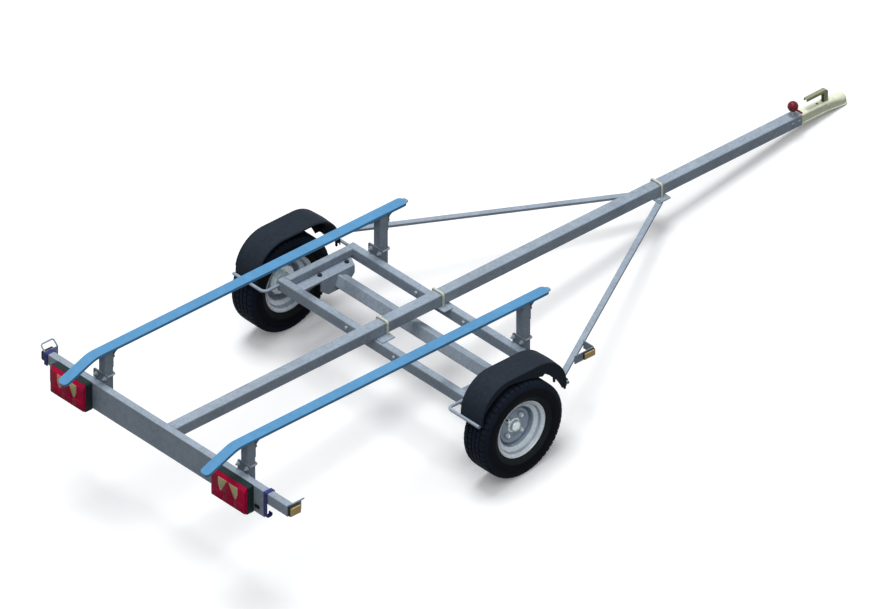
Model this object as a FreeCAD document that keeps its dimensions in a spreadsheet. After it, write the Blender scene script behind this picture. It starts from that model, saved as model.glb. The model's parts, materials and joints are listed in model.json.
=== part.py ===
"""Two-wheel dinghy trailer: galvanised bolted frame on torsion half axles.

The trailer is drawn level, with the origin on the wheel axis midway between the wheels:
+X towards the coupling, +Y to the left, +Z up, millimetres. Each sub-part then gets one common
placement, the stand, which tips the trailer nose-down until its coupling rests on the ground.
"""
import FreeCAD, Part
import math
import os

import Sketcher
from FreeCAD import Placement, Rotation, Vector

# ---------------------------------------------------------------- driving dimensions
SIZES = [
    # alias, value in mm or degrees, meaning
    ("tyre_diameter", 490, "outside diameter of the tyre"),
    ("tyre_width", 156, "section width of the tyre"),
    ("rim_flange_diameter", 289, "outside diameter of the rim's flanges"),
    ("rim_seat_diameter", 254, "bead seat diameter, a 10 inch rim"),
    ("rim_width", 120, "overall width over the rim's flanges"),
    ("rim_sheet", 3.5, "thickness of the rim's sheet"),
    ("disc_face", 4, "outer face of the rim's disc, outboard of the wheel's mid plane"),
    ("stud_circle", 115, "pitch circle of the four wheel studs"),
    ("stud_diameter", 12, "wheel stud"),
    ("stub_diameter", 30, "stub axle that the hub turns on"),
    ("hub_clearance", 0.05, "radial running clearance of the hub on the stub axle"),
    ("half_track", 799, "wheel mid plane from the centre line"),
    ("beam_width", 40, "width of the beam tube, along X"),
    ("beam_height", 60, "height of the beam tube"),
    ("beam_wall", 3, "wall of the beam tube"),
    ("tube_corner", 6, "outside corner radius of the square tubes"),
    ("drawbar_side", 60, "side of the square drawbar tube"),
    ("drawbar_wall", 4, "wall of the drawbar"),
    ("drawbar_base", 150, "underside of the drawbar above the wheel axis"),
    ("drawbar_front", 2493, "front end of the drawbar"),
    ("rear_beam_back", -1410, "rear face of the rear beam"),
    ("rear_beam_length", 1670, "length of the rear beam"),
    ("front_cross_centre", 290, "centre of the front cross member"),
    ("rear_cross_centre", -139, "centre of the rear cross member"),
    ("cross_length", 1280, "length of the cross members"),
    ("side_tube", 40, "side of the square side member tube"),
    ("saddle_plate", 5, "thickness of the plates under the drawbar"),
    ("axle_tube_side", 60, "side of the square torsion tube"),
    ("axle_tube_wall", 5, "wall of the torsion tube"),
    ("axle_tube_turn", 22.5, "turn of the torsion tube's section about its axis"),
    ("axle_tube_x", 140, "torsion tube's axis ahead of the wheel axis"),
    ("axle_tube_z", 58, "torsion tube's axis above the wheel axis"),
    ("axle_tube_length", 1304, "length of the torsion tube"),
    ("arm_thickness", 28, "thickness of the swing arm"),
    ("axle_plate", 8, "thickness of the axle mounting plate"),
    ("post_side", 48, "side of the square post tube"),
    ("post_lug", 8, "thickness of the lug between a beam and a post"),
    ("post_offset", 489, "posts and bunks from the centre line"),
    ("bunk_base", 361, "underside of the bunks above the wheel axis"),
    ("bunk_width", 58, "width of a bunk"),
    ("bunk_thickness", 14, "thickness of a bunk"),
    ("bunk_front", 486, "front end of the bunks"),
    ("bunk_bend", -1425, "where the bunks bend down"),
    ("bunk_tail", 200, "length of the bent-down stretch"),
    ("bunk_drop", 21, "angle of the bent-down stretch"),
    ("guard_width", 150, "width of the mudguard"),
    ("guard_inner", 700, "mudguard's inner edge from the centre line"),
    ("guard_sheet", 3, "thickness of the mudguard"),
    ("guard_lip", 13, "depth of the mudguard's turned-down edges"),
    ("guard_crown", 4, "rise of the mudguard's middle over its edges"),
    ("guard_top", 300, "top of the mudguard above the wheel axis"),
    ("guard_foot", 110, "lower edges of the mudguard above the wheel axis"),
    ("guard_back", -240, "rear edge of the mudguard"),
    ("guard_front", 290, "front edge of the mudguard"),
    ("guard_shoulder", 175, "outside radius of the mudguard's shoulders"),
    ("valance_radius", 279, "lower edge of the mudguard's outer valance about the wheel axis"),
    ("stay_rod", 16, "diameter of the mudguard stays"),
    ("clamp_rod", 12, "diameter of the U-bolts round the drawbar"),
    ("post_rod", 10, "diameter of the U-bolts round the posts"),
    ("bolt_play", 0.5, "radial play of a bolt or pin in its hole"),
    ("loop_rod", 8, "diameter of the lashing loops"),
    ("strut_width", 30, "width of a V strut"),
    ("strut_depth", 15, "depth of a V strut"),
    ("strut_wall", 2.5, "wall of a V strut"),
    ("board_back", -1412, "rear face of the light board"),
    ("board_height", 140, "height of the light board"),
    ("board_left", 796, "left end of the light board"),
    ("board_right", -680, "right end of the light board"),
    ("board_sheet", 2, "thickness of the light board"),
    ("lamp_length", 242, "length of a tail lamp"),
    ("lamp_height", 150, "height of a tail lamp"),
    ("lamp_housing", 38, "depth of a tail lamp's housing"),
    ("lamp_lens", 12, "depth of a tail lamp's lens"),
    ("ball_diameter", 50, "tow ball that the coupling takes"),
    ("ball_x", 2758, "centre of the coupling's socket"),
    ("ball_z", 168, "centre of the coupling's socket above the wheel axis"),
    ("coupling_foot", 148, "lower rim of the coupling above the wheel axis"),
    ("coupling_width", 50, "width of the coupling's neck"),
    ("coupling_rim", 5, "width of the rim round the coupling's lower edge"),
    ("pivot_x", 2661, "pivot of the coupling's lever"),
    ("pivot_z", 182, "pivot of the coupling's lever above the wheel axis"),
    ("pivot_pin", 10, "diameter of the lever's pivot pin"),
    ("coupling_sheet", 4, "thickness of the coupling's pressing"),
]

doc = FreeCAD.newDocument("BoatTrailer")
sheet = doc.addObject("Spreadsheet::Sheet", "Sizes")
for row, (alias, value, meaning) in enumerate(SIZES, start=1):
    sheet.set(f"A{row}", meaning)
    sheet.set(f"B{row}", str(value))
    sheet.setAlias(f"B{row}", alias)
doc.recompute()


def size(alias):
    return float(sheet.get(alias))


# ---------------------------------------------------------------- directions and places
ALONG_X = Rotation(Vector(0, 1, 0), Vector(0, 0, 1), Vector(1, 0, 0))
ALONG_Y = Rotation(Vector(-1, 0, 0), Vector(0, 0, 1), Vector(0, 1, 0))
UPRIGHT = Rotation()
# local X stays along the trailer, local Y points up and local Z to the right
FACING_RIGHT = Rotation(Vector(1, 0, 0), Vector(0, 0, 1), Vector(0, -1, 0))
SIDES = [("left", 1), ("right", -1)]

sub_parts = []


def at(x, y, z, turn=UPRIGHT):
    return Placement(Vector(x, y, z), turn)


def outward(side):
    """Turns local +Z to the outside of the trailer and local +Y to up."""
    return Rotation(Vector(-side, 0, 0), Vector(0, 0, 1), Vector(0, side, 0))


def keep(obj, label, place=None):
    """Names a finished sub-part and notes where it stands on the level trailer."""
    obj.Label = label
    sub_parts.append((obj, place or Placement()))
    return obj


# ---------------------------------------------------------------- sketches and features
def new_body(name):
    return doc.addObject("PartDesign::Body", name)


def new_sketch(body, role, offset=0):
    sketch = body.newObject("Sketcher::SketchObject", body.Name + "_sketch")
    plane = next(f for f in body.Origin.OriginFeatures if f.Role == role)
    sketch.AttachmentSupport = (plane, [""])
    sketch.MapMode = "FlatFace"
    sketch.AttachmentOffset = at(0, 0, offset)
    return sketch


def rounded_rectangle(sketch, width, height, corner):
    """A rectangle about the sketch's origin whose width, height and corner radius are
    bound to the given expressions."""
    base = sketch.GeometryCount
    wide, high, r = 20.0, 20.0, 2.0
    x, y = wide / 2, high / 2
    sides = [
        ((-x + r, -y), (x - r, -y)),
        ((x, -y + r), (x, y - r)),
        ((x - r, y), (-x + r, y)),
        ((-x, y - r), (-x, -y + r)),
    ]
    centres = [(x - r, -y + r), (x - r, y - r), (-x + r, y - r), (-x + r, -y + r)]
    for start, end in sides:
        sketch.addGeometry(Part.LineSegment(Vector(*start, 0), Vector(*end, 0)))
    for quarter, centre in enumerate(centres):
        circle = Part.Circle(Vector(*centre, 0), Vector(0, 0, 1), r)
        begin = math.radians(90 * (quarter - 1))
        sketch.addGeometry(Part.ArcOfCircle(circle, begin, begin + math.pi / 2))
    rules = []
    for k in range(4):
        rules.append(Sketcher.Constraint("Tangent", base + k, 2, base + 4 + k, 1))
        rules.append(Sketcher.Constraint("Tangent", base + 4 + k, 2, base + (k + 1) % 4, 1))
    for k in range(3):
        rules.append(Sketcher.Constraint("Equal", base + 4, base + 5 + k))
    for k in (0, 2):
        rules.append(Sketcher.Constraint("Horizontal", base + k))
    for k in (1, 3):
        rules.append(Sketcher.Constraint("Vertical", base + k))
    sketch.addConstraint(rules)
    bound = [
        (Sketcher.Constraint("DistanceX", -1, 1, base + 1, 1, x), f"({width}) / 2"),
        (Sketcher.Constraint("DistanceX", base + 3, 1, -1, 1, x), f"({width}) / 2"),
        (Sketcher.Constraint("DistanceY", -1, 1, base + 2, 1, y), f"({height}) / 2"),
        (Sketcher.Constraint("DistanceY", base, 1, -1, 1, y), f"({height}) / 2"),
        (Sketcher.Constraint("Radius", base + 4, r), corner),
    ]
    for rule, expression in bound:
        index = sketch.addConstraint(rule)
        sketch.setExpression(f"Constraints[{index}]", expression)


def circle(sketch, radius, x=0.0, y=0.0):
    """A circle with its radius bound to an expression and its centre fixed."""
    index = sketch.addGeometry(Part.Circle(Vector(x, y, 0), Vector(0, 0, 1), 5))
    if x == 0 and y == 0:
        sketch.addConstraint(Sketcher.Constraint("Coincident", index, 3, -1, 1))
    else:
        sketch.addConstraint(Sketcher.Constraint("DistanceX", -1, 1, index, 3, x))
        sketch.addConstraint(Sketcher.Constraint("DistanceY", -1, 1, index, 3, y))
    rule = sketch.addConstraint(Sketcher.Constraint("Radius", index, 5))
    sketch.setExpression(f"Constraints[{rule}]", radius)


def rounded_corner(before, corner, after, radius):
    """Start, middle and end of the arc that rounds one corner."""
    back = (before - corner).normalize()
    ahead = (after - corner).normalize()
    half = back.getAngle(ahead) / 2
    reach = radius / math.tan(half)
    inward = (back + ahead).normalize()
    centre = corner + inward * (radius / math.sin(half))
    return corner + back * reach, centre - inward * radius, corner + ahead * reach


def outline(sketch, corners, closed=True):
    """Draws a line through corners given as (x, y) or (x, y, rounding radius)."""
    points = [Vector(c[0], c[1], 0) for c in corners]
    count = len(points)
    stations = []
    for k, corner in enumerate(corners):
        if len(corner) == 3 and (closed or 0 < k < count - 1):
            stations.append(
                rounded_corner(points[k - 1], points[k], points[(k + 1) % count], corner[2])
            )
        else:
            stations.append((points[k], None, points[k]))
    for k, (start, middle, end) in enumerate(stations):
        if middle:
            sketch.addGeometry(Part.ArcOfCircle(start, middle, end))
        if closed or k < count - 1:
            following = stations[(k + 1) % count][0]
            if (following - end).Length > 1e-6:
                sketch.addGeometry(Part.LineSegment(end, following))


def pad(body, sketch, length, reverse=False):
    feature = body.newObject("PartDesign::Pad", body.Name + "_pad")
    feature.Profile = sketch
    feature.Reversed = reverse
    feature.setExpression("Length", length)
    return feature


def pocket(body, sketch, length, reverse=False):
    feature = body.newObject("PartDesign::Pocket", body.Name + "_pocket")
    feature.Profile = sketch
    feature.Reversed = reverse
    feature.setExpression("Length", length)
    return feature


def revolve(body, sketch, axis="V_Axis"):
    feature = body.newObject("PartDesign::Revolution", body.Name + "_turned")
    feature.Profile = sketch
    feature.ReferenceAxis = (sketch, [axis])
    feature.Angle = 360
    return feature


def around(body, feature, count):
    """Repeats a feature evenly about the body's Z axis."""
    pattern = body.newObject("PartDesign::PolarPattern", body.Name + "_ring")
    pattern.Originals = [feature]
    axis = next(f for f in body.Origin.OriginFeatures if f.Role == "Z_Axis")
    pattern.Axis = (axis, [""])
    pattern.Angle = 360
    pattern.Occurrences = count
    body.Tip = pattern
    return pattern


def tube(name, width, height, wall, corner, length):
    """A hollow rectangular tube along its own Z axis; all sizes are expressions."""
    body = new_body(name)
    sketch = new_sketch(body, "XY_Plane")
    rounded_rectangle(sketch, width, height, corner)
    rounded_rectangle(
        sketch, f"{width} - 2 * {wall}", f"{height} - 2 * {wall}", f"{corner} - {wall} + 0.5"
    )
    pad(body, sketch, length)
    return body


def round_edges(body, feature, radius, chosen):
    """Rounds those edges of a feature for which chosen(edge) is true."""
    doc.recompute()
    names = [f"Edge{k + 1}" for k, edge in enumerate(feature.Shape.Edges) if chosen(edge)]
    fillet = body.newObject("PartDesign::Fillet", body.Name + "_rounding")
    fillet.Base = (feature, names)
    fillet.setExpression("Radius", radius)
    body.Tip = fillet
    return fillet


def on_level(edge, level):
    """True for an edge that lies wholly at one local height."""
    return abs(edge.BoundBox.ZMin - level) < 0.01 and abs(edge.BoundBox.ZMax - level) < 0.01


def sweep(body, section, spine):
    pipe = body.newObject("PartDesign::AdditivePipe", body.Name + "_pipe")
    pipe.Profile = section
    pipe.Spine = (spine, [f"Edge{k + 1}" for k in range(spine.GeometryCount)])
    return pipe


def bent_rod(name, route, diameter):
    """A round bar whose route starts at the origin of its own XY plane, along +Y."""
    body = new_body(name)
    spine = new_sketch(body, "XY_Plane")
    outline(spine, route, closed=False)
    section = new_sketch(body, "XZ_Plane")
    circle(section, f"{diameter} / 2")
    sweep(body, section, spine)
    return body


def plate(name, corners, thickness, holes=()):
    """A flat plate with the given outline in its own XY plane; a hole is (radius, x, y)."""
    body = new_body(name)
    sketch = new_sketch(body, "XY_Plane")
    outline(sketch, corners)
    for hole in holes:
        circle(sketch, *hole)
    pad(body, sketch, thickness)
    return body


def box(name, length, width, height, x, y, z):
    """A Part box centred in X and Y on (x, y), standing on z; sizes are expressions."""
    solid = doc.addObject("Part::Box", name)
    solid.setExpression("Length", length)
    solid.setExpression("Width", width)
    solid.setExpression("Height", height)
    doc.recompute()
    solid.Placement = at(x - solid.Length.Value / 2, y - solid.Width.Value / 2, z)
    return solid


def nut(name, across_flats, height, place):
    solid = doc.addObject("Part::Prism", name)
    solid.Polygon = 6
    solid.setExpression("Circumradius", f"{across_flats} / 2 / cos(30)")
    solid.setExpression("Height", height)
    solid.Placement = place
    return solid


def cylinder(name, radius, height, place):
    solid = doc.addObject("Part::Cylinder", name)
    solid.setExpression("Radius", radius)
    solid.setExpression("Height", height)
    solid.Placement = place
    return solid


def fuse(name, pieces):
    joined = doc.addObject("Part::MultiFuse", name)
    joined.Shapes = pieces
    return joined


def cut(name, base, tool):
    result = doc.addObject("Part::Cut", name)
    result.Base = base
    result.Tool = tool
    return result


def group(name, pieces):
    """Separate solids that are one sub-part."""
    result = doc.addObject("Part::Compound", name)
    result.Links = pieces
    return result


# ---------------------------------------------------------------- frame
drawbar_base = size("drawbar_base")
drawbar_side = size("drawbar_side")
beam_width = size("beam_width")
beam_height = size("beam_height")
rear_beam_back = size("rear_beam_back")
rear_beam_x = rear_beam_back + beam_width / 2
rear_beam_front = rear_beam_back + beam_width
rear_beam_z = drawbar_base + beam_height / 2
half_beam = size("rear_beam_length") / 2
cross_top = drawbar_base - size("saddle_plate")
cross_z = cross_top - beam_height / 2
half_cross = size("cross_length") / 2
front_cross_x = size("front_cross_centre")
rear_cross_x = size("rear_cross_centre")
side_tube = size("side_tube")
side_y = half_cross - side_tube / 2


def beam(name, length):
    return tube(
        name, "Sizes.beam_width", "Sizes.beam_height", "Sizes.beam_wall", "Sizes.tube_corner", length
    )


def make_frame():
    drawbar = tube(
        "drawbar_tube",
        "Sizes.drawbar_side",
        "Sizes.drawbar_side",
        "Sizes.drawbar_wall",
        "Sizes.tube_corner",
        "Sizes.drawbar_front - Sizes.rear_beam_back - Sizes.beam_width",
    )
    keep(drawbar, "drawbar", at(rear_beam_front, 0, drawbar_base + drawbar_side / 2, ALONG_X))
    rear = beam("rear_beam_tube", "Sizes.rear_beam_length")
    keep(rear, "rear_beam", at(rear_beam_x, -half_beam, rear_beam_z, ALONG_Y))
    for name, x in (("front", front_cross_x), ("rear", rear_cross_x)):
        cross = beam(f"{name}_cross_tube", "Sizes.cross_length")
        keep(cross, f"{name}_cross_member", at(x, -half_cross, cross_z, ALONG_Y))
    for side, sign in SIDES:
        member = tube(
            f"side_tube_{side}",
            "Sizes.side_tube",
            "Sizes.side_tube",
            "Sizes.beam_wall",
            "Sizes.tube_corner",
            "Sizes.front_cross_centre - Sizes.rear_cross_centre - Sizes.beam_width",
        )
        place = at(
            rear_cross_x + beam_width / 2, sign * side_y, cross_top - side_tube / 2, ALONG_X
        )
        keep(member, f"side_member_{side}", place)


# ---------------------------------------------------------------- axle, arms and hubs
axle_x = size("axle_tube_x")
axle_z = size("axle_tube_z")
half_axle = size("axle_tube_length") / 2
axle_side = size("axle_tube_side")
plate_top = cross_top - side_tube
GUSSET_THICKNESS = 8
PLATE_INNER_Y = 540
PLATE_FRONT_X = 257
PLATE_CORNER_X = 227
AXLE_BOLT_Y = 580
AXLE_BOLTS_X = (47, 213)


def make_axle_tube():
    body = tube(
        "torsion_tube",
        "Sizes.axle_tube_side",
        "Sizes.axle_tube_side",
        "Sizes.axle_tube_wall",
        "Sizes.tube_corner",
        "Sizes.axle_tube_length",
    )
    turn = Rotation(Vector(0, 1, 0), size("axle_tube_turn")).multiply(ALONG_Y)
    keep(body, "axle_tube", at(axle_x, -half_axle, axle_z, turn))


def make_axle_bracket(side, sign):
    """Mounting plate under the side member, with a gusset that the torsion tube passes."""
    rear_x = rear_cross_x + beam_width / 2 + 0.5
    underside = plate_top - size("axle_plate")
    flat = plate(
        f"axle_plate_{side}",
        [
            (rear_x, sign * half_cross),
            (PLATE_FRONT_X, sign * half_cross),
            (PLATE_FRONT_X, sign * (half_cross - side_tube)),
            (PLATE_CORNER_X, sign * PLATE_INNER_Y, 8),
            (rear_x, sign * PLATE_INNER_Y),
        ],
        "Sizes.axle_plate",
        [("8.5", x, sign * AXLE_BOLT_Y) for x in AXLE_BOLTS_X],
    )
    flat.Placement = at(0, 0, underside)
    front = PLATE_CORNER_X
    gusset = plate(
        f"axle_gusset_{side}",
        [(21, 0), (21, -51, 6), (64, -84, 12), (180, -84, 14), (front, -34, 10), (front, 0)],
        str(GUSSET_THICKNESS),
    )
    gusset_y = sign * (PLATE_INNER_Y + GUSSET_THICKNESS / 2)
    gusset.Placement = at(0, gusset_y + GUSSET_THICKNESS / 2, underside, FACING_RIGHT)
    window = box(
        f"axle_window_{side}",
        "Sizes.axle_tube_side",
        "40",
        "Sizes.axle_tube_side",
        0,
        0,
        -axle_side / 2,
    )
    turn = Placement(Vector(), Rotation(Vector(0, 1, 0), size("axle_tube_turn")))
    window.Placement = at(axle_x, gusset_y, axle_z).multiply(turn).multiply(window.Placement)
    gusset_cut = cut(f"axle_gusset_cut_{side}", gusset, window)
    keep(fuse(f"axle_bracket_fused_{side}", [flat, gusset_cut]), f"axle_bracket_{side}")


def make_swing_arm(side, sign):
    """Trailing arm from the torsion tube's end to the stub axle that carries the wheel."""
    pivot_r, wheel_r = 38.0, 32.0
    reach = math.hypot(axle_x, axle_z)
    lean = math.atan2(axle_z, axle_x)
    spread = math.acos((pivot_r - wheel_r) / reach)
    body = new_body(f"arm_{side}")
    sketch = new_sketch(body, "XY_Plane")
    mirror = -sign
    pivot = Vector(axle_x * mirror, axle_z, 0)

    def rim_point(centre, radius, angle):
        return centre + Vector(math.cos(angle) * mirror, math.sin(angle), 0) * radius

    upper, lower = lean + math.pi - spread, lean - math.pi + spread
    start = rim_point(pivot, pivot_r, upper)
    end = rim_point(pivot, pivot_r, lower)
    wheel_start = rim_point(Vector(), wheel_r, lower)
    wheel_end = rim_point(Vector(), wheel_r, upper)
    sketch.addGeometry(Part.ArcOfCircle(start, rim_point(pivot, pivot_r, lean), end))
    sketch.addGeometry(Part.LineSegment(end, wheel_start))
    sketch.addGeometry(
        Part.ArcOfCircle(wheel_start, rim_point(Vector(), wheel_r, lean + math.pi), wheel_end)
    )
    sketch.addGeometry(Part.LineSegment(wheel_end, start))
    pad(body, sketch, "Sizes.arm_thickness")
    collar = new_sketch(body, "XY_Plane", size("arm_thickness"))
    circle(collar, "Sizes.stub_diameter / 2 + 6")
    pad(body, collar, "18")
    stub = new_sketch(body, "XY_Plane", size("arm_thickness") + 18)
    circle(stub, "Sizes.stub_diameter / 2")
    stub_reach = size("half_track") + 14 - half_axle - size("arm_thickness") - 18
    pad(body, stub, str(stub_reach))
    keep(body, f"swing_arm_{side}", at(0, sign * half_axle, 0, outward(sign)))


HUB_BACK = -95
DISC_SHEET = 4
PILOT_RADIUS = 35.5


def make_hub(side, sign):
    """Hub turned about its own Z axis, with a pilot for the rim, a grease cap and four studs."""
    body = new_body(f"hub_turned_{side}")
    sketch = new_sketch(body, "XZ_Plane")
    bore = size("stub_diameter") / 2 + size("hub_clearance")
    seat = size("disc_face") - DISC_SHEET
    profile = [
        (bore, HUB_BACK),
        (34, HUB_BACK, 3),
        (37, -40, 20),
        (41, seat - 12, 6),
        (72, seat - 12),
        (72, seat),
        (PILOT_RADIUS, seat),
        (PILOT_RADIUS, seat + 7),
        (28, seat + 7),
        (28, seat + 22, 8),
        (0, seat + 25),
        (0, seat + 19),
        (bore, seat + 19),
    ]
    outline(sketch, profile)
    revolve(body, sketch)
    doc.recompute()
    stud = new_sketch(body, "XY_Plane", seat)
    diagonal = size("stud_circle") / 2 * math.sqrt(0.5)
    circle(stud, "Sizes.stud_diameter / 2", diagonal, diagonal)
    around(body, pad(body, stud, "22"), 4)
    keep(body, f"hub_{side}", at(0, sign * size("half_track"), 0, outward(sign)))


seat_radius = size("rim_seat_diameter") / 2
flange_radius = size("rim_flange_diameter") / 2
half_rim = size("rim_width") / 2
rim_sheet = size("rim_sheet")
well_radius = seat_radius - 22


def make_rim(side, sign):
    """Drop-centre rim with a pressed disc that bolts to the hub."""
    body = new_body(f"rim_turned_{side}")
    barrel = new_sketch(body, "XZ_Plane")
    lip = half_rim - 9
    outer = [
        (flange_radius, -half_rim),
        (flange_radius, -half_rim + 6, 2.5),
        (seat_radius + 4, -lip + 3, 4),
        (seat_radius, -34),
        (seat_radius, -28, 8),
        (well_radius, -18, 8),
        (well_radius, 24, 8),
        (seat_radius, 34, 6),
        (seat_radius, 38),
        (seat_radius + 4, lip - 3, 4),
        (flange_radius, half_rim - 6, 2.5),
        (flange_radius, half_rim),
    ]
    inner = [
        (flange_radius - rim_sheet, half_rim),
        (flange_radius - rim_sheet - 2, half_rim - 3),
        (seat_radius + 1, lip, 4),
        (seat_radius - rim_sheet, 40),
        (seat_radius - rim_sheet, 36, 5),
        (well_radius - rim_sheet, 27, 8),
        (well_radius - rim_sheet, -20, 8),
        (seat_radius - rim_sheet, -31, 8),
        (seat_radius - rim_sheet, -36),
        (seat_radius + 1, -lip, 4),
        (flange_radius - rim_sheet - 2, -half_rim + 3),
        (flange_radius - rim_sheet, -half_rim),
    ]
    outline(barrel, outer + inner)
    revolve(body, barrel)
    doc.recompute()
    disc = new_sketch(body, "XZ_Plane")
    face = size("disc_face")
    back = face - DISC_SHEET
    weld_radius = well_radius - rim_sheet + 1
    bore = PILOT_RADIUS + size("bolt_play")
    profile = [
        (bore, back),
        (70, back, 5),
        (78, back + 8, 6),
        (86, back + 8, 6),
        (weld_radius - 4, back - 18),
        (weld_radius, back - 18),
        (weld_radius, back - 6),
        (weld_radius - 3, back - 2),
        (89, face + 8, 8),
        (76, face + 8, 8),
        (68, face, 5),
        (bore, face),
    ]
    outline(disc, profile)
    revolve(body, disc)
    doc.recompute()
    hole = new_sketch(body, "XY_Plane", face + 20)
    diagonal = size("stud_circle") / 2 * math.sqrt(0.5)
    circle(hole, "Sizes.stud_diameter / 2 + 1", diagonal, diagonal)
    around(body, pocket(body, hole, "40"), 4)
    keep(body, f"rim_{side}", at(0, sign * size("half_track"), 0, outward(sign)))


def make_tyre(side, sign):
    """Tyre of horseshoe section whose beads sit inside the rim's flanges."""
    body = new_body(f"tyre_turned_{side}")
    sketch = new_sketch(body, "XZ_Plane")
    tread = size("tyre_diameter") / 2
    half = size("tyre_width") / 2
    gap = 0.8
    right = [
        (seat_radius + gap, 29),
        (seat_radius + gap, 34),
        (seat_radius + 4 + gap, half_rim - 12.8, 3),
        (flange_radius + gap, half_rim - 7),
        (flange_radius + 5.5, half_rim + 2, 6),
        (seat_radius + 45, half - 1, 30),
        (tread - 40, half, 60),
        (tread - 17, half - 5, 20),
        (tread - 2, half - 13, 8),
        (tread, half - 36, 60),
    ]
    left = [(r, -z, *rounding) for r, z, *rounding in reversed(right)]
    inside_right = [
        (tread - 12, half - 48, 40),
        (tread - 19, half - 18, 18),
        (tread - 45, half - 10, 60),
        (seat_radius + 35, half - 18, 14),
        (seat_radius + 19, half - 38, 6),
    ]
    inside_left = [(r, -z, *rounding) for r, z, *rounding in reversed(inside_right)]
    outline(sketch, right + left + inside_left + inside_right)
    revolve(body, sketch)
    keep(body, f"tyre_{side}", at(0, sign * size("half_track"), 0, outward(sign)))


# ---------------------------------------------------------------- mudguards and stays
guard_back = size("guard_back")
guard_front = size("guard_front")
guard_foot = size("guard_foot")
guard_top = size("guard_top")
stay_r = size("stay_rod") / 2
stay_z = guard_foot + stay_r
STAY_REACH = 845


def make_mudguard(side, sign):
    """Arched sheet, crowned across its width, with a turned-down lip along each edge."""
    width, skin = size("guard_width"), size("guard_sheet")
    crown, lip, shoulder = size("guard_crown"), size("guard_lip"), size("guard_shoulder")
    rise, run = guard_top - guard_foot, guard_front - guard_back
    body = new_body(f"guard_{side}")
    spine = new_sketch(body, "XY_Plane")
    outline(spine, [(0, 0), (0, rise, shoulder), (run, rise, shoulder), (run, 0)], closed=False)
    section = new_sketch(body, "XZ_Plane")
    outside = [(lip, 0), (crown, 0, 9), (0, width / 2, 470), (crown, width, 9), (lip, width)]
    inside = [
        (lip, width - skin),
        (crown + skin, width - skin, 6),
        (skin, width / 2, 470),
        (crown + skin, skin, 6),
        (lip, skin),
    ]
    outline(section, outside + inside)
    sweep(body, section, spine)
    start_y = size("guard_inner") + (width if sign > 0 else 0)
    body.Placement = at(guard_back, sign * start_y, guard_foot, FACING_RIGHT)
    inset = crown + 1
    low_x, high_x, high_z = guard_back + inset, guard_front - inset, guard_top - inset
    valance = plate(
        f"valance_{side}",
        [
            (low_x, guard_foot),
            (low_x, high_z, shoulder - inset),
            (high_x, high_z, shoulder - inset),
            (high_x, guard_foot),
        ],
        "Sizes.guard_sheet",
    )
    outer_y = size("guard_inner") + width - (0 if sign > 0 else skin)
    valance.Placement = at(0, sign * outer_y, 0, FACING_RIGHT)
    round_wheel = cylinder(
        f"wheel_space_{side}",
        "Sizes.valance_radius",
        "4 * Sizes.guard_sheet",
        at(0, sign * outer_y - 2 * skin - skin / 2, 0, outward(1)),
    )
    edge = cut(f"valance_cut_{side}", valance, round_wheel)
    keep(fuse(f"guard_fused_{side}", [body, edge]), f"mudguard_{side}")


def make_stays(side, sign):
    """Rear stay, bent to run behind the mudguard, and the straight front stay."""
    rear_start = rear_cross_x - beam_width / 2
    rear_run = guard_back - stay_r
    back = rear_start - rear_run
    weld_y = half_cross - 8
    reach = STAY_REACH - weld_y
    rear = bent_rod(
        f"rear_stay_{side}", [(0, 0), (0, back, 24), (-sign * reach, back)], "Sizes.stay_rod"
    )
    turn = Rotation(Vector(0, -1, 0), Vector(-1, 0, 0), Vector(0, 0, -1))
    rear.Placement = at(rear_start, sign * weld_y, stay_z, turn)
    front = cylinder(
        f"front_stay_{side}",
        "Sizes.stay_rod / 2",
        str(STAY_REACH - half_cross),
        at(guard_front + stay_r, sign * half_cross, stay_z, outward(sign)),
    )
    keep(group(f"stays_{side}", [rear, front]), f"mudguard_stays_{side}")


# ---------------------------------------------------------------- posts, clamps and bunks
post_y = size("post_offset")
post_side = size("post_side")
post_lug = size("post_lug")
bunk_base = size("bunk_base")
clamp_r = size("clamp_rod") / 2
post_rod_r = size("post_rod") / 2
ROD_GAP = 0.3
LUG_HALF_WIDTH = 45
LUG_RISE = 45
LUG_BOLT_RISE = 26
LUG_OFFSET = 7
BRACKET_BEND = 40
BRACKET_SHEET = 5
BRACKET_WIDTH = 40
POSTS = [
    # place, front face of the beam, foot of the post, top of the beam
    ("rear", rear_beam_front, drawbar_base, drawbar_base + beam_height),
    ("front", front_cross_x + beam_width / 2, cross_top - beam_height, cross_top),
]


def make_post(place, face, foot, side, sign):
    body = tube(
        f"post_{place}_{side}_tube",
        "Sizes.post_side",
        "Sizes.post_side",
        "Sizes.beam_wall",
        "Sizes.tube_corner - 2",
        f"Sizes.bunk_base - {foot}",
    )
    keep(body, f"{place}_post_{side}", at(face + post_lug + post_side / 2, sign * post_y, foot))


def make_post_lug(place, face, beam_top, side, sign):
    """Upright plate welded to the beam's front, with two holes above the beam."""
    span = post_side / 2 + post_rod_r + ROD_GAP
    hole_r = "Sizes.post_rod / 2 + Sizes.bolt_play"
    lug = plate(
        f"lug_{place}_{side}",
        [
            (-LUG_HALF_WIDTH, -40),
            (LUG_HALF_WIDTH, -40),
            (LUG_HALF_WIDTH, LUG_RISE, 6),
            (-LUG_HALF_WIDTH, LUG_RISE, 6),
        ],
        "Sizes.post_lug",
        [(hole_r, end * span - sign * LUG_OFFSET, LUG_BOLT_RISE) for end in (-1, 1)],
    )
    lug.Placement = at(face, sign * (post_y + LUG_OFFSET), beam_top, ALONG_X)
    return lug


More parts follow.
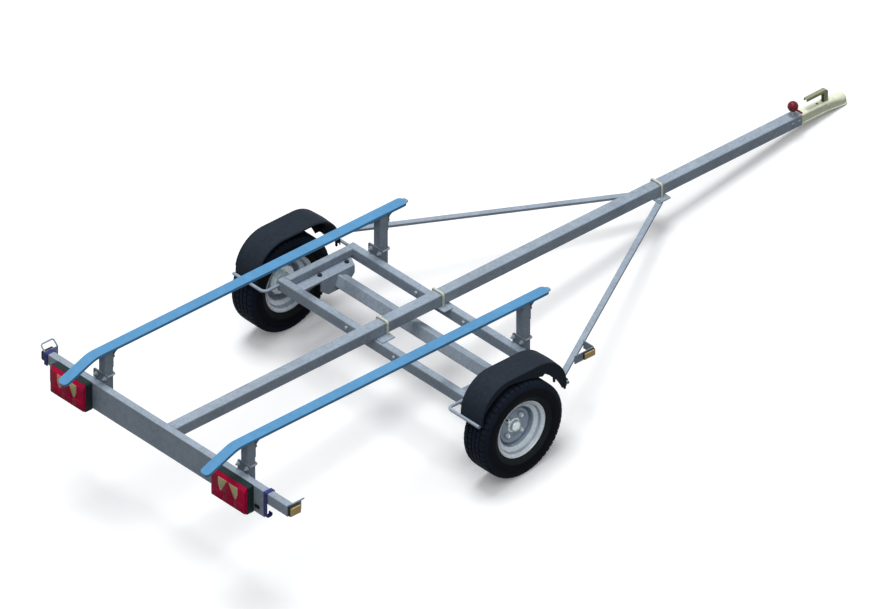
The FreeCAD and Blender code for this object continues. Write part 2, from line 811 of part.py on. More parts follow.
def make_post_ubolt(place, face, beam_top, side, sign):
    """U-bolt round the post, through the lug, with two nuts behind it."""
    span = post_side / 2 + post_rod_r + ROD_GAP
    depth = 12 + post_lug + post_side + post_rod_r + ROD_GAP
    route = [(0, 0), (0, depth, 9), (2 * span, depth, 9), (2 * span, 0)]
    rod = bent_rod(f"ubolt_{place}_{side}", route, "Sizes.post_rod")
    turn = Rotation(Vector(0, 1, 0), Vector(1, 0, 0), Vector(0, 0, -1))
    height = beam_top + LUG_BOLT_RISE
    rod.Placement = at(face - 12, sign * post_y - span, height, turn)
    nuts = []
    for k, end in enumerate((-1, 1)):
        spot = at(face - 8, sign * post_y + end * span, height, ALONG_X)
        nuts.append(nut(f"nut_{place}_{side}_{k}", "17", "8", spot))
    return fuse(f"post_ubolt_{place}_{side}", [rod] + nuts)


def make_bunk_bracket(place, face, side, sign):
    """Strip bent through a wide curve from the post's front face to the bunk's underside."""
    back = face + post_lug + post_side
    foot, reach = bunk_base - 92, back + 64
    corners = [
        (back, foot),
        (back + BRACKET_SHEET, foot),
        (back + BRACKET_SHEET, bunk_base - BRACKET_SHEET, BRACKET_BEND),
        (reach, bunk_base - BRACKET_SHEET),
        (reach, bunk_base),
        (back, bunk_base, BRACKET_BEND + BRACKET_SHEET),
    ]
    angle = plate(f"bunk_angle_{place}_{side}", corners, str(BRACKET_WIDTH))
    angle.Placement = at(0, sign * post_y + BRACKET_WIDTH / 2, 0, FACING_RIGHT)
    return angle


def make_bunk(side, sign):
    """Flat rail along the trailer with its rear stretch bent down and rounded ends."""
    width, thick = size("bunk_width"), size("bunk_thickness")
    bend, tail, front = size("bunk_bend"), size("bunk_tail"), size("bunk_front")
    drop = math.radians(size("bunk_drop"))
    end_x, end_z = bend - tail * math.cos(drop), -tail * math.sin(drop)
    lean = Vector(math.sin(drop), -math.cos(drop), 0) * thick
    body = new_body(f"bunk_{side}")
    sketch = new_sketch(body, "XY_Plane")
    outline(
        sketch,
        [
            (front, thick),
            (bend, thick, 160),
            (end_x, end_z + thick),
            (end_x + lean.x, end_z + thick + lean.y),
            (bend + thick * math.tan(drop / 2), 0, 160 - thick),
            (front, 0),
        ],
    )
    rail = pad(body, sketch, "Sizes.bunk_width")

    def is_end_corner(edge):
        start, end = (v.Point for v in edge.Vertexes)
        return abs((end - start).Length - thick) < 0.01

    round_edges(body, rail, "22", is_end_corner)
    keep(body, f"bunk_{side}", at(0, sign * post_y + width / 2, bunk_base, FACING_RIGHT))


# ---------------------------------------------------------------- drawbar clamps and V struts
SADDLES = [
    # place, rod's X, plate's rear end, plate's front end, plate's half width
    ("front", 258, 228, 285, 75),
    ("rear", -85, -150, -72, 75),
    ("strut", 1611, 1566, 1640, 67),
]
SADDLE_UNDERSIDE = drawbar_base - size("saddle_plate")
STRUT_INNER = Vector(1590, 46, SADDLE_UNDERSIDE - size("strut_depth") / 2)
STRUT_OUTER = Vector(314, 789, stay_z + 6)


def make_saddle(place, rod_x, back, front, half_width):
    """Flat plate under the drawbar with two holes for its U-bolt."""
    span = drawbar_side / 2 + clamp_r + ROD_GAP
    corners = [
        (back, -half_width, 4),
        (front, -half_width, 4),
        (front, half_width, 4),
        (back, half_width, 4),
    ]
    holes = [("Sizes.clamp_rod / 2 + Sizes.bolt_play", rod_x, end * span) for end in (-1, 1)]
    flat = plate(f"saddle_{place}", corners, "Sizes.saddle_plate", holes)
    flat.Placement = at(0, 0, SADDLE_UNDERSIDE)
    return flat


def make_drawbar_ubolt(place, rod_x):
    """U-bolt over the drawbar with two nuts below its saddle."""
    span = drawbar_side / 2 + clamp_r + ROD_GAP
    foot = SADDLE_UNDERSIDE - 17
    rise = drawbar_base + drawbar_side + clamp_r + ROD_GAP - foot
    route = [(0, 0), (0, rise, 12), (2 * span, rise, 12), (2 * span, 0)]
    rod = bent_rod(f"drawbar_ubolt_{place}", route, "Sizes.clamp_rod")
    turn = Rotation(Vector(0, 1, 0), Vector(0, 0, 1), Vector(1, 0, 0))
    rod.Placement = at(rod_x, -span, foot, turn)
    nuts = []
    for k, end in enumerate((-1, 1)):
        spot = at(rod_x, end * span, SADDLE_UNDERSIDE - 10)
        nuts.append(nut(f"drawbar_nut_{place}_{k}", "19", "10", spot))
    return fuse(f"drawbar_ubolt_{place}_nuts", [rod] + nuts)


def strut_frame(sign):
    """Placement of a strut's inner end, local +Z along it and +Y up across it."""
    inner = Vector(STRUT_INNER.x, sign * STRUT_INNER.y, STRUT_INNER.z)
    outer = Vector(STRUT_OUTER.x, sign * STRUT_OUTER.y, STRUT_OUTER.z)
    along = (outer - inner).normalize()
    across = along.cross(Vector(0, 0, 1)).normalize()
    return Placement(inner, Rotation(across, across.cross(along) * -1, along)), (outer - inner).Length


def make_strut(side, sign):
    place, length = strut_frame(sign)
    body = tube(
        f"strut_{side}_tube",
        "Sizes.strut_width",
        "Sizes.strut_depth",
        "Sizes.strut_wall",
        "3",
        str(length),
    )
    keep(body, f"strut_{side}", place)


MARKER_FRONT_X = 554
MARKER_OUTER_Y = 741


def make_marker_bracket(side, sign):
    """Bent strip on the outside of the strut that carries a side reflector."""
    slope = (STRUT_OUTER.y - STRUT_INNER.y) / (STRUT_OUTER.x - STRUT_INNER.x)
    sheet_thick, high = 4, 44
    strut_edge = size("strut_width") / 2 * math.hypot(1, slope) + 0.2
    front_x, outer_y = MARKER_FRONT_X, MARKER_OUTER_Y

    def edge_y(x):
        return STRUT_OUTER.y + slope * (x - STRUT_OUTER.x) + strut_edge

    back_y = outer_y - sheet_thick
    rear_x = STRUT_OUTER.x + (back_y - strut_edge - STRUT_OUTER.y) / slope
    heel_x = front_x - sheet_thick
    corners = [
        (front_x, sign * edge_y(front_x)),
        (front_x, sign * outer_y, 5),
        (rear_x, sign * outer_y),
        (rear_x, sign * back_y),
        (heel_x, sign * back_y, 1),
        (heel_x, sign * edge_y(heel_x)),
    ]
    strip = plate(f"marker_strip_{side}", corners, str(high))
    strip.Placement = at(0, 0, marker_z - high / 2)
    return strip


along = (STRUT_INNER.z - STRUT_OUTER.z) / (STRUT_INNER.x - STRUT_OUTER.x)
marker_z = STRUT_OUTER.z + along * (MARKER_FRONT_X - STRUT_OUTER.x)


def make_reflector(name, length, height, depth, lens, place):
    """A housing and a lens in front of it, both with rounded corners, facing local +Z."""
    pieces = []
    for part_name, shrink, start, thick in (
        ("housing", 0, 0, depth - lens),
        ("lens", 5, depth - lens, lens),
    ):
        body = new_body(f"{name}_{part_name}")
        sketch = new_sketch(body, "XY_Plane", start)
        rounded_rectangle(sketch, str(length - shrink), str(height - shrink), "5")
        slab = pad(body, sketch, str(thick))
        if part_name == "lens":
            round_edges(body, slab, "1.5", lambda e: on_level(e, depth))
        body.Placement = place
        pieces.append(body)
    return pieces


# ---------------------------------------------------------------- light board and beam ends
board_back = size("board_back")
board_top = drawbar_base + beam_height
LAMPS = [("left", 621), ("right", -489)]
HOOKS = [
    # side, middle, length below the beam's top
    ("left", 820, 62),
    ("right", -692, 134),
]
BOARD_SLOT_INSET = 47
BOARD_SLOT_DEPTH = 103


def make_light_board():
    """Upright sheet with a folded lower edge and two slots, hung behind the rear beam."""
    thick, high = size("board_sheet"), size("board_height")
    fold = 18
    body = new_body("board")
    sketch = new_sketch(body, "XY_Plane")
    outline(
        sketch,
        [
            (0, 0),
            (0, -high, 3),
            (fold, -high),
            (fold, -high + thick),
            (thick, -high + thick, 1),
            (thick, 0),
        ],
    )
    pad(body, sketch, "Sizes.board_left - Sizes.board_right")
    doc.recompute()
    slots = new_sketch(body, "YZ_Plane", 2 * thick)
    run = size("board_left") - size("board_right")
    for middle in (BOARD_SLOT_INSET, run - BOARD_SLOT_INSET):
        corners = []
        for dz, dy in ((-15, -7), (15, -7), (15, 7), (-15, 7)):
            corners.append((dy - BOARD_SLOT_DEPTH, middle + dz, 6.9))
        outline(slots, corners)
    pocket(body, slots, "4 * Sizes.board_sheet")
    keep(body, "light_board", at(board_back, size("board_left"), board_top, FACING_RIGHT))


def make_board_hooks():
    """Bent strips over the beam: a short one on the left, a long one with a foot on the right."""
    hooks = []
    thick, wide, foot = 4, 22, 36
    top = board_top + thick
    back = board_back - thick
    lip = rear_beam_front + 0.3
    for side, y, drop in HOOKS:
        bottom = board_top - drop
        corners = [
            (back, top, 5),
            (lip + thick, top, 5),
            (lip + thick, board_top - 22),
            (lip, board_top - 22),
            (lip, board_top, 1),
            (back + thick, board_top, 1),
        ]
        if bottom > drawbar_base - 10:
            corners += [(back + thick, bottom), (back, bottom)]
        else:
            corners += [
                (back + thick, bottom + thick, 9),
                (back + foot - thick, bottom + thick, 7),
                (back + foot - thick, bottom + 18),
                (back + foot, bottom + 18),
                (back + foot, bottom, 11),
                (back, bottom, 13),
            ]
        strip = plate(f"hook_{side}", corners, str(wide))
        strip.Placement = at(0, y + wide / 2, 0, FACING_RIGHT)
        hooks.append(strip)
    keep(group("hooks", hooks), "board_hooks")


FACING_BACK = Rotation(Vector(0, -1, 0), Vector(0, 0, 1), Vector(-1, 0, 0))


def make_tail_lamp(side, y):
    """Deep housing on the board with a shallow lens on its rear face."""
    lamp_z = board_top + 2 - size("lamp_height") / 2
    housing = new_body(f"lamp_housing_{side}")
    sketch = new_sketch(housing, "XY_Plane")
    rounded_rectangle(sketch, "Sizes.lamp_length", "Sizes.lamp_height", "9")
    pad(housing, sketch, "Sizes.lamp_housing")
    keep(housing, f"lamp_housing_{side}", at(board_back, y, lamp_z, FACING_BACK))
    lens = new_body(f"lamp_lens_{side}")
    sketch = new_sketch(lens, "XY_Plane")
    rounded_rectangle(sketch, "Sizes.lamp_length - 6", "Sizes.lamp_height - 6", "8")
    slab = pad(lens, sketch, "Sizes.lamp_lens")
    depth = size("lamp_lens")
    round_edges(lens, slab, "4", lambda e: on_level(e, depth))
    back = board_back - size("lamp_housing")
    keep(lens, f"lamp_lens_{side}", at(back, y, lamp_z, FACING_BACK))


END_PLATE = 4
END_BACK = 1410
END_FRONT = 1326
LOOP_RISE = 39
LOOP_LEAN = math.radians(42)


def make_beam_end(side, sign):
    """Plate welded over the beam's open end, with a wire lashing loop along its upper edge."""
    low, high = drawbar_base + 6, board_top - 2
    flat = plate(
        f"end_plate_{side}",
        [(-END_BACK, low, 4), (-END_FRONT, low, 4), (-END_FRONT, high), (-END_BACK, high)],
        str(END_PLATE),
    )
    flat.Placement = at(0, sign * half_beam + (END_PLATE if sign > 0 else 0), 0, FACING_RIGHT)
    rod_r = size("loop_rod") / 2
    span = END_BACK - END_FRONT - 2 * rod_r
    route = [(0, 0), (0, LOOP_RISE, 11), (span, LOOP_RISE, 11), (span, 0)]
    loop = bent_rod(f"loop_{side}", route, "Sizes.loop_rod")
    up = Vector(0, sign * math.cos(LOOP_LEAN), math.sin(LOOP_LEAN))
    turn = Rotation(Vector(1, 0, 0), up, Vector(1, 0, 0).cross(up))
    loop_y = sign * (half_beam + END_PLATE / 2)
    loop.Placement = at(-END_BACK + rod_r, loop_y, board_top - 0.5, turn)
    loop.Placement.Base -= up
    return fuse(f"beam_end_{side}", [flat, loop])


# ---------------------------------------------------------------- coupling
ball_x = size("ball_x")
ball_z = size("ball_z")
coupling_foot = size("coupling_foot")
coupling_skin = size("coupling_sheet")
drawbar_front = size("drawbar_front")
pivot_x = size("pivot_x")
pivot_z = size("pivot_z")
socket_r = size("ball_diameter") / 2 + 0.5
dome_r = socket_r + coupling_skin
foot_z = coupling_foot - ball_z
neck_half = size("coupling_width") / 2
NECK = [
    # X, half width, underside, top, radius of the top corners: outside of the pressing
    (2413, neck_half, 155, 204.5, 8),
    (2650, neck_half, 155, 203, 10),
    (2700, 26.5, 151, 202, 18),
    (2758, 29.5, 148, 197.5, 28),
]
RIM_START_X = 2500
LEVER_WIDTH = 22
LEVER_SHEET = 3


def head_section(body, x, half, low, high, corner):
    sketch = new_sketch(body, "YZ_Plane", x - ball_x)
    low, high = low - ball_z, high - ball_z
    corners = [(-half, low), (half, low), (half, high, corner), (-half, high, corner)]
    outline(sketch, corners)
    return sketch


def loft(body, sections):
    feature = body.newObject("PartDesign::AdditiveLoft", body.Name + "_loft")
    feature.Profile = sections[0]
    feature.Sections = sections[1:]
    feature.Ruled = True
    return feature


def head_form(name, inset, below):
    """Neck lofted through its sections and a dome turned about the ball's axis."""
    body = new_body(name)
    sections = []
    for x, half, low, high, corner in NECK:
        start = x - 2 * inset if x == NECK[0][0] else x
        radius = corner - inset
        sections.append(head_section(body, start, half - inset, low - below, high - inset, radius))
    loft(body, sections)
    doc.recompute()
    dome = new_sketch(body, "XZ_Plane")
    reach = dome_r - inset
    outline(dome, [(0, reach), (reach, reach, reach - 0.05), (reach, foot_z - below), (0, foot_z - below)])
    revolve(body, dome)
    return body


def head_rim():
    """Outward rim along the lower edge of the pressing."""
    body = new_body("head_rim")
    width = size("coupling_rim")
    sections = []
    for x, half, low, _, _ in NECK[1:]:
        sections.append(rim_section(body, x, half + width, low))
    start = rim_section(body, RIM_START_X, NECK[0][1] + width, NECK[0][2])
    loft(body, [start] + sections)
    doc.recompute()
    ring = new_sketch(body, "XZ_Plane")
    outer = dome_r + width
    top = foot_z + coupling_skin
    outline(ring, [(socket_r, foot_z), (outer, foot_z), (outer, top), (socket_r, top)])
    revolve(body, ring)
    return body


def rim_section(body, x, half, low):
    sketch = new_sketch(body, "YZ_Plane", x - ball_x)
    low -= ball_z
    high = low + coupling_skin
    outline(sketch, [(-half, low), (half, low), (half, high), (-half, high)])
    return sketch


def make_coupling_head():
    """Hollow pressed head: a neck lofted into the domed ball socket, open below."""
    solid = fuse("head_solid", [head_form("head_outside", 0, 0), head_rim()])
    hollow = head_form("head_inside", coupling_skin, 6)
    slot = box("lever_slot", "36", "24", "60", pivot_x - ball_x, 0, 0)
    hole = cylinder("head_hole", "8", "60", at(2614 - ball_x, 0, 0))
    pivot = cylinder(
        "head_pivot",
        "Sizes.pivot_pin / 2 + Sizes.bolt_play",
        "120",
        at(pivot_x - ball_x, -60, pivot_z - ball_z, outward(1)),
    )
    head = cut("head_open", solid, fuse("head_space", [hollow, slot, hole, pivot]))
    keep(head, "coupling_head", at(ball_x, 0, ball_z))


def make_coupling_lever():
    """Channel-shaped lever: an upright arm on the pivot pin and a handle to the rear."""
    front, back, handle_end = pivot_x + 12, pivot_x - 11, 2539
    top, low = 266, pivot_z - 10
    play = ("Sizes.pivot_pin / 2 + Sizes.bolt_play", pivot_x, pivot_z)
    outside = [
        (back, low, 8),
        (front, low, 8),
        (front, top, 16),
        (handle_end, top - 2, 5),
        (handle_end, top - 17, 5),
        (back, top - 16, 4),
    ]
    skin = LEVER_SHEET
    inside = [
        (2 * handle_end - back, low - 20),
        (front + 9, low - 20),
        (front + 9, 200),
        (front - skin, 200),
        (front - skin, top - skin, 13),
        (2 * handle_end - back, top - skin - 3),
    ]
    solid = plate("lever_outside", outside, str(LEVER_WIDTH), [play])
    solid.Placement = at(0, LEVER_WIDTH / 2, 0, FACING_RIGHT)
    channel = plate("lever_inside", inside, str(LEVER_WIDTH - 2 * skin))
    channel.Placement = at(0, LEVER_WIDTH / 2 - skin, 0, FACING_RIGHT)
    keep(cut("lever", solid, channel), "coupling_lever")


def make_coupling_latch():
    """Keeper on the pivot pin, hollowed to clear the ball."""
    play = ("Sizes.pivot_pin / 2 + Sizes.bolt_play", pivot_x, pivot_z)
    wide = LEVER_WIDTH - 2 * LEVER_SHEET - 2
    keeper = plate(
        "keeper",
        [
            (pivot_x - 11, pivot_z - 9, 8),
            (pivot_x - 11, pivot_z + 10, 8),
            (pivot_x + 14, pivot_z + 8, 6),
            (ball_x, ball_z),
            (ball_x, ball_z - 15),
            (pivot_x + 56, ball_z - 15, 8),
            (pivot_x + 30, ball_z - 2, 20),
        ],
        str(wide),
        [play],
    )
    keeper.Placement = at(0, wide / 2, 0, FACING_RIGHT)
    ball = cylinder("ball_path", str(socket_r + 0.5), "90", at(ball_x, 0, ball_z - 45))
    keep(cut("latch", keeper, ball), "coupling_latch")


def make_coupling_pin():
    """Headed pivot pin through the head, the lever and the latch."""
    reach = 2 * 26.5
    turn = outward(1)
    shaft = cylinder(
        "pivot_shaft", "Sizes.pivot_pin / 2", str(reach), at(pivot_x, -reach / 2, pivot_z, turn)
    )
    heads = []
    for k, y in enumerate((-reach / 2 - 4, reach / 2)):
        place = at(pivot_x, y, pivot_z, turn)
        heads.append(cylinder(f"pivot_head_{k}", "Sizes.pivot_pin / 2 + 3", "4", place))
    keep(fuse("pivot", [shaft] + heads), "coupling_pin")


def make_drawbar_knob():
    """Round knob on a stem, with a loose cross pin."""
    x = drawbar_front - 31
    top = drawbar_base + drawbar_side
    ball = doc.addObject("Part::Sphere", "knob_ball")
    ball.setExpression("Radius", "26")
    ball.Placement = at(x, 0, top + 45)
    stem = cylinder("stem", "9", "21", Placement())
    pin = cylinder("knob_pin", "5", "62", at(x, 0, top + 38, outward(-1)))
    recess = cylinder("knob_recess", "9", "21", at(x, 0, top))
    keep(cut("knob", fuse("knob_and_pin", [ball, pin]), recess), "drawbar_knob")
    keep(stem, "knob_stem", at(x, 0, top))


# ---------------------------------------------------------------- build, stand and write
def rest_placement():
    """Tips the level trailer about the wheel axis until the coupling's front rim and the
    tyres meet one ground plane."""
    toe_x = ball_x + dome_r + size("coupling_rim")
    reach = math.hypot(toe_x, coupling_foot)
    rise = math.atan2(coupling_foot, toe_x)
    pitch = rise + math.asin(size("tyre_diameter") / 2 / reach)
    tip = Rotation(Vector(0, 1, 0), math.degrees(pitch))
    return Placement(Vector(0, 0, size("tyre_diameter") / 2), tip)


make_frame()
make_axle_tube()
strips, housings, marker_lenses, end_lenses, beam_ends = [], [], [], [], []
for side, sign in SIDES:
    make_axle_bracket(side, sign)
    make_swing_arm(side, sign)
    make_hub(side, sign)
    make_rim(side, sign)
    make_tyre(side, sign)
    make_mudguard(side, sign)
    make_stays(side, sign)
    make_bunk(side, sign)
    make_strut(side, sign)
    strips.append(make_marker_bracket(side, sign))
    beam_ends.append(make_beam_end(side, sign))
    spot = at(MARKER_FRONT_X - 36, sign * MARKER_OUTER_Y, marker_z, outward(sign))
    housing, lens = make_reflector(f"marker_{side}", 68, 37, 12, 4, spot)
    housings.append(housing)
    marker_lenses.append(lens)
    end_y = sign * (half_beam + END_PLATE)
    spot = at(rear_beam_back + 33, end_y, drawbar_base + 31.5, outward(sign))
    housing, lens = make_reflector(f"end_{side}", 66, 47, 22, 6, spot)
    housings.append(housing)
    end_lenses.append(lens)
lugs, ubolts, angles = [], [], []
for place, face, foot, beam_top in POSTS:
    for side, sign in SIDES:
        make_post(place, face, foot, side, sign)
        lugs.append(make_post_lug(place, face, beam_top, side, sign))
        ubolts.append(make_post_ubolt(place, face, beam_top, side, sign))
        angles.append(make_bunk_bracket(place, face, side, sign))
keep(group("lugs", lugs), "post_lugs")
keep(group("ubolts", ubolts), "post_ubolts")
keep(group("angles", angles), "bunk_brackets")
keep(group("strips", strips), "marker_brackets")
keep(group("housings", housings), "reflector_housings")
keep(group("marker_lenses", marker_lenses), "marker_reflectors")
keep(group("end_lenses", end_lenses), "end_reflectors")
keep(group("ends", beam_ends), "lashing_loops")
keep(group("saddles", [make_saddle(*row) for row in SADDLES]), "drawbar_saddles")
keep(group("clamps", [make_drawbar_ubolt(*row[:2]) for row in SADDLES]), "drawbar_ubolts")
make_light_board()
make_board_hooks()
for side, y in LAMPS:
    make_tail_lamp(side, y)
make_coupling_head()
make_coupling_lever()
make_coupling_latch()
make_coupling_pin()
make_drawbar_knob()

stand = rest_placement()
for obj, place in sub_parts:
    obj.Placement = stand.multiply(place)
doc.recompute()

overall = FreeCAD.BoundBox()
for obj, place in sub_parts:
    overall.add(obj.Shape.optimalBoundingBox(False))
shift = Placement(Vector(-overall.Center.x, -overall.Center.y, -overall.ZMin), Rotation())
for obj, place in sub_parts:
    obj.Placement = shift.multiply(stand).multiply(place)
doc.recompute()
print("pitch", math.degrees(stand.Rotation.Angle), "box", overall)
print("wheel axis at", shift.multiply(stand).Base)

for obj in doc.Objects:
    if "Invalid" in obj.State or "Error" in obj.State:
        raise RuntimeError(f"{obj.Label} did not compute: {obj.State}")
os.makedirs("parts", exist_ok=True)
for obj, place in sub_parts:
    if obj.Shape.isNull() or not obj.Shape.isValid():
        raise RuntimeError(f"{obj.Label} has no valid shape")
    obj.Shape.exportStep(f"parts/{obj.Label}.step")
print(len(sub_parts), "sub-parts written")
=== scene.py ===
"""Looks of the boat trailer: materials, small fixings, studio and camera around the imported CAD."""

import json
import math

import bmesh
import bpy
from mathutils import Matrix, Vector


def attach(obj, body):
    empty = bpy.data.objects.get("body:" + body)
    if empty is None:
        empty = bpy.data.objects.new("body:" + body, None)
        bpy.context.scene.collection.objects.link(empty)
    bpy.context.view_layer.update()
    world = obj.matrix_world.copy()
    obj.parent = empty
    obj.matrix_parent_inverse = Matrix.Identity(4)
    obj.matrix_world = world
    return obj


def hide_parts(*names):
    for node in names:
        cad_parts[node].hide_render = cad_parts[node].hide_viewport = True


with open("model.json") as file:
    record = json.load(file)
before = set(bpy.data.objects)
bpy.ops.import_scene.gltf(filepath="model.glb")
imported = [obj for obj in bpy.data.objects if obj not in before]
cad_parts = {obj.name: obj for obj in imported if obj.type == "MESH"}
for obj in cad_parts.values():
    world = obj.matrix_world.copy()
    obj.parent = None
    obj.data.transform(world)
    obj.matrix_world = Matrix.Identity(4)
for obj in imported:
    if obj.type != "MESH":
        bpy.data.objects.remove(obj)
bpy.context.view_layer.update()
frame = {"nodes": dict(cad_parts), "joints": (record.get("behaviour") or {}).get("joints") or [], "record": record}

# ---------------------------------------------------------------- the parked trailer's frame
MM = 0.001
record = frame["record"]
bunk_up = next(m["axis"] for m in record["mounts"] if m["name"] == "bunk_left_top")
axle = next(j["pos_m"] for j in frame["joints"] if j["name"] == "wheel_left_spin")
half_track = abs(axle[1]) / MM
lean = math.atan2(bunk_up[0], bunk_up[2])
# from the level trailer, with its origin on the wheel axis, to the trailer as it stands
PARKED = Matrix.Translation((axle[0], 0, axle[2])) @ Matrix.Rotation(lean, 4, "Y")
LEVEL_MM = PARKED @ Matrix.Scale(MM, 4)
SIDES = [("left", 1), ("right", -1)]

# places of the frame on the level trailer, in millimetres, as in the CAD
DRAWBAR_BASE, DRAWBAR_TOP, HALF_DRAWBAR = 150, 210, 30
BEAM_BACK, BEAM_FRONT, HALF_BEAM = -1410, -1370, 835
REAR_CROSS_X, FRONT_CROSS_X, CROSS_TOP, HALF_CROSS = -139, 290, 145, 640
HALF_TUBE = 20
PLATE_TOP, PLATE_SHEET = 105, 8
SADDLE_SHEET, STRUT_DEPTH = 5, 15
POST_Y, POST_SIDE = 489, 48
LUG_SHEET, LUG_OFFSET, LUG_HALF_WIDTH = 8, 7, 45
BUNK_BASE = 361
TYRE_RADIUS = 245.0


# ---------------------------------------------------------------- materials
STEEL = (0.345, 0.41, 0.485)
# low, because a mirror of the white surroundings lightens the shaded sides
ZINC_METALLIC, ZINC_GLOSS = 0.05, 0.07
# in metres
GRAIN_DEPTH = 0.0004
RIB_DEPTH = 0.0006
# of the wave texture at a scale of 1
WAVE_LENGTH = 0.31416


def new_material(name, metallic, gloss):
    material = bpy.data.materials.new(name)
    material.use_nodes = True
    tree = material.node_tree
    shader = tree.nodes["Principled BSDF"]
    shader.inputs["Metallic"].default_value = metallic
    shader.inputs["Specular IOR Level"].default_value = gloss
    return material, tree, shader


def object_point(tree, stretch=(1, 1, 1)):
    coords = tree.nodes.new("ShaderNodeTexCoord")
    mapping = tree.nodes.new("ShaderNodeMapping")
    mapping.inputs["Scale"].default_value = stretch
    tree.links.new(coords.outputs["Object"], mapping.inputs["Vector"])
    return mapping.outputs["Vector"]


def noise(tree, scale, detail=4.0, stretch=(1, 1, 1), rough=0.5):
    texture = tree.nodes.new("ShaderNodeTexNoise")
    texture.inputs["Scale"].default_value = scale
    texture.inputs["Detail"].default_value = detail
    texture.inputs["Roughness"].default_value = rough
    tree.links.new(object_point(tree, stretch), texture.inputs["Vector"])
    return texture.outputs["Fac"]


def cells(tree, scale):
    """Flat random greys in crystal-like cells."""
    texture = tree.nodes.new("ShaderNodeTexVoronoi")
    texture.inputs["Scale"].default_value = scale
    tree.links.new(object_point(tree), texture.inputs["Vector"])
    split = tree.nodes.new("ShaderNodeSeparateColor")
    tree.links.new(texture.outputs["Color"], split.inputs["Color"])
    return split.outputs["Red"]


def ramp(tree, factor, stops):
    node = tree.nodes.new("ShaderNodeValToRGB")
    elements = node.color_ramp.elements
    while len(elements) < len(stops):
        elements.new(0.5)
    for element, (place, colour) in zip(elements, stops):
        element.position = place
        element.color = (*colour, 1)
    tree.links.new(factor, node.inputs["Fac"])
    return node.outputs["Color"]


def greys(tree, factor, *stops):
    """A ramp between greys, each given as its place and its value."""
    return ramp(tree, factor, [(place, (value, value, value)) for place, value in stops])


def multiplied(tree, share, first, second):
    node = tree.nodes.new("ShaderNodeMix")
    node.data_type = "RGBA"
    node.blend_type = "MULTIPLY"
    node.inputs[0].default_value = share
    tree.links.new(first, node.inputs[6])
    tree.links.new(second, node.inputs[7])
    return node.outputs[2]


def shade(colour, factor):
    return tuple(min(c * factor, 1) for c in colour)


def bump(tree, shader, height, strength, distance=GRAIN_DEPTH):
    node = tree.nodes.new("ShaderNodeBump")
    node.inputs["Strength"].default_value = strength
    node.inputs["Distance"].default_value = distance
    tree.links.new(height, node.inputs["Height"])
    tree.links.new(node.outputs["Normal"], shader.inputs["Normal"])


def surface(name, colour, metallic, roughness, gloss, spread, scale, relief):
    """A base colour with mottling and stains, varied roughness and a fine grain."""
    material, tree, shader = new_material(name, metallic, gloss)
    mottle = noise(tree, scale)
    base = ramp(tree, mottle, [(0.3, shade(colour, 1 - spread)), (0.7, shade(colour, 1 + spread))])
    stains = greys(tree, noise(tree, 4, 6, rough=0.65), (0.35, 0.86), (0.6, 1.0))
    tree.links.new(multiplied(tree, 0.6, base, stains), shader.inputs["Base Color"])
    rough = greys(tree, mottle, (0.3, roughness - 0.07), (0.7, roughness + 0.07))
    tree.links.new(rough, shader.inputs["Roughness"])
    bump(tree, shader, noise(tree, scale * 12), relief)
    return material


def zinc(name, tone, crystals):
    """Hot-dip galvanising: a spangle of zinc crystals, runs and dull stains."""
    material, tree, shader = new_material(name, ZINC_METALLIC, ZINC_GLOSS)
    colour = shade(STEEL, tone)
    spangle = cells(tree, crystals)
    base = ramp(tree, spangle, [(0.0, shade(colour, 0.9)), (1.0, shade(colour, 1.1))])
    clouds = greys(tree, noise(tree, 7, 5, rough=0.6), (0.3, 0.88), (0.7, 1.06))
    runs = greys(tree, noise(tree, 18, 3, (0.25, 1, 1)), (0.35, 0.92), (0.6, 1.0))
    toned = multiplied(tree, 0.8, multiplied(tree, 1.0, base, clouds), runs)
    tree.links.new(toned, shader.inputs["Base Color"])
    rough = greys(tree, spangle, (0.0, 0.42), (1.0, 0.62))
    tree.links.new(rough, shader.inputs["Roughness"])
    bump(tree, shader, noise(tree, 260, 3), 0.12)
    return material


def radial(name, metallic, gloss, roughness, scale, spread, relief, bands):
    """A wheel's surface, whose tone changes with the distance from the axis, in rings of painted light and shade
    under a random mottle.
    """
    material, tree, shader = new_material(name, metallic, gloss)
    flat = tree.nodes.new("ShaderNodeMapping")
    flat.inputs["Location"].default_value = (-axle[0], 0, -axle[2])
    flat.inputs["Scale"].default_value = (1, 0, 1)
    tree.links.new(object_point(tree), flat.inputs["Vector"])
    reach = tree.nodes.new("ShaderNodeVectorMath")
    reach.operation = "LENGTH"
    tree.links.new(flat.outputs["Vector"], reach.inputs[0])
    share = tree.nodes.new("ShaderNodeMath")
    share.operation = "DIVIDE"
    share.inputs[1].default_value = TYRE_RADIUS * MM
    tree.links.new(reach.outputs["Value"], share.inputs[0])
    stops = [(radius / TYRE_RADIUS, colour) for radius, colour in bands]
    tone = ramp(tree, share.outputs["Value"], stops)
    mottle = noise(tree, scale, 6, rough=0.65)
    dust = greys(tree, mottle, (0.35, 1 - spread), (0.7, 1 + spread))
    tree.links.new(multiplied(tree, 1.0, tone, dust), shader.inputs["Base Color"])
    rough = greys(tree, mottle, (0.3, roughness - 0.08), (0.7, roughness + 0.08))
    tree.links.new(rough, shader.inputs["Roughness"])
    bump(tree, shader, noise(tree, scale * 14), relief)
    return material


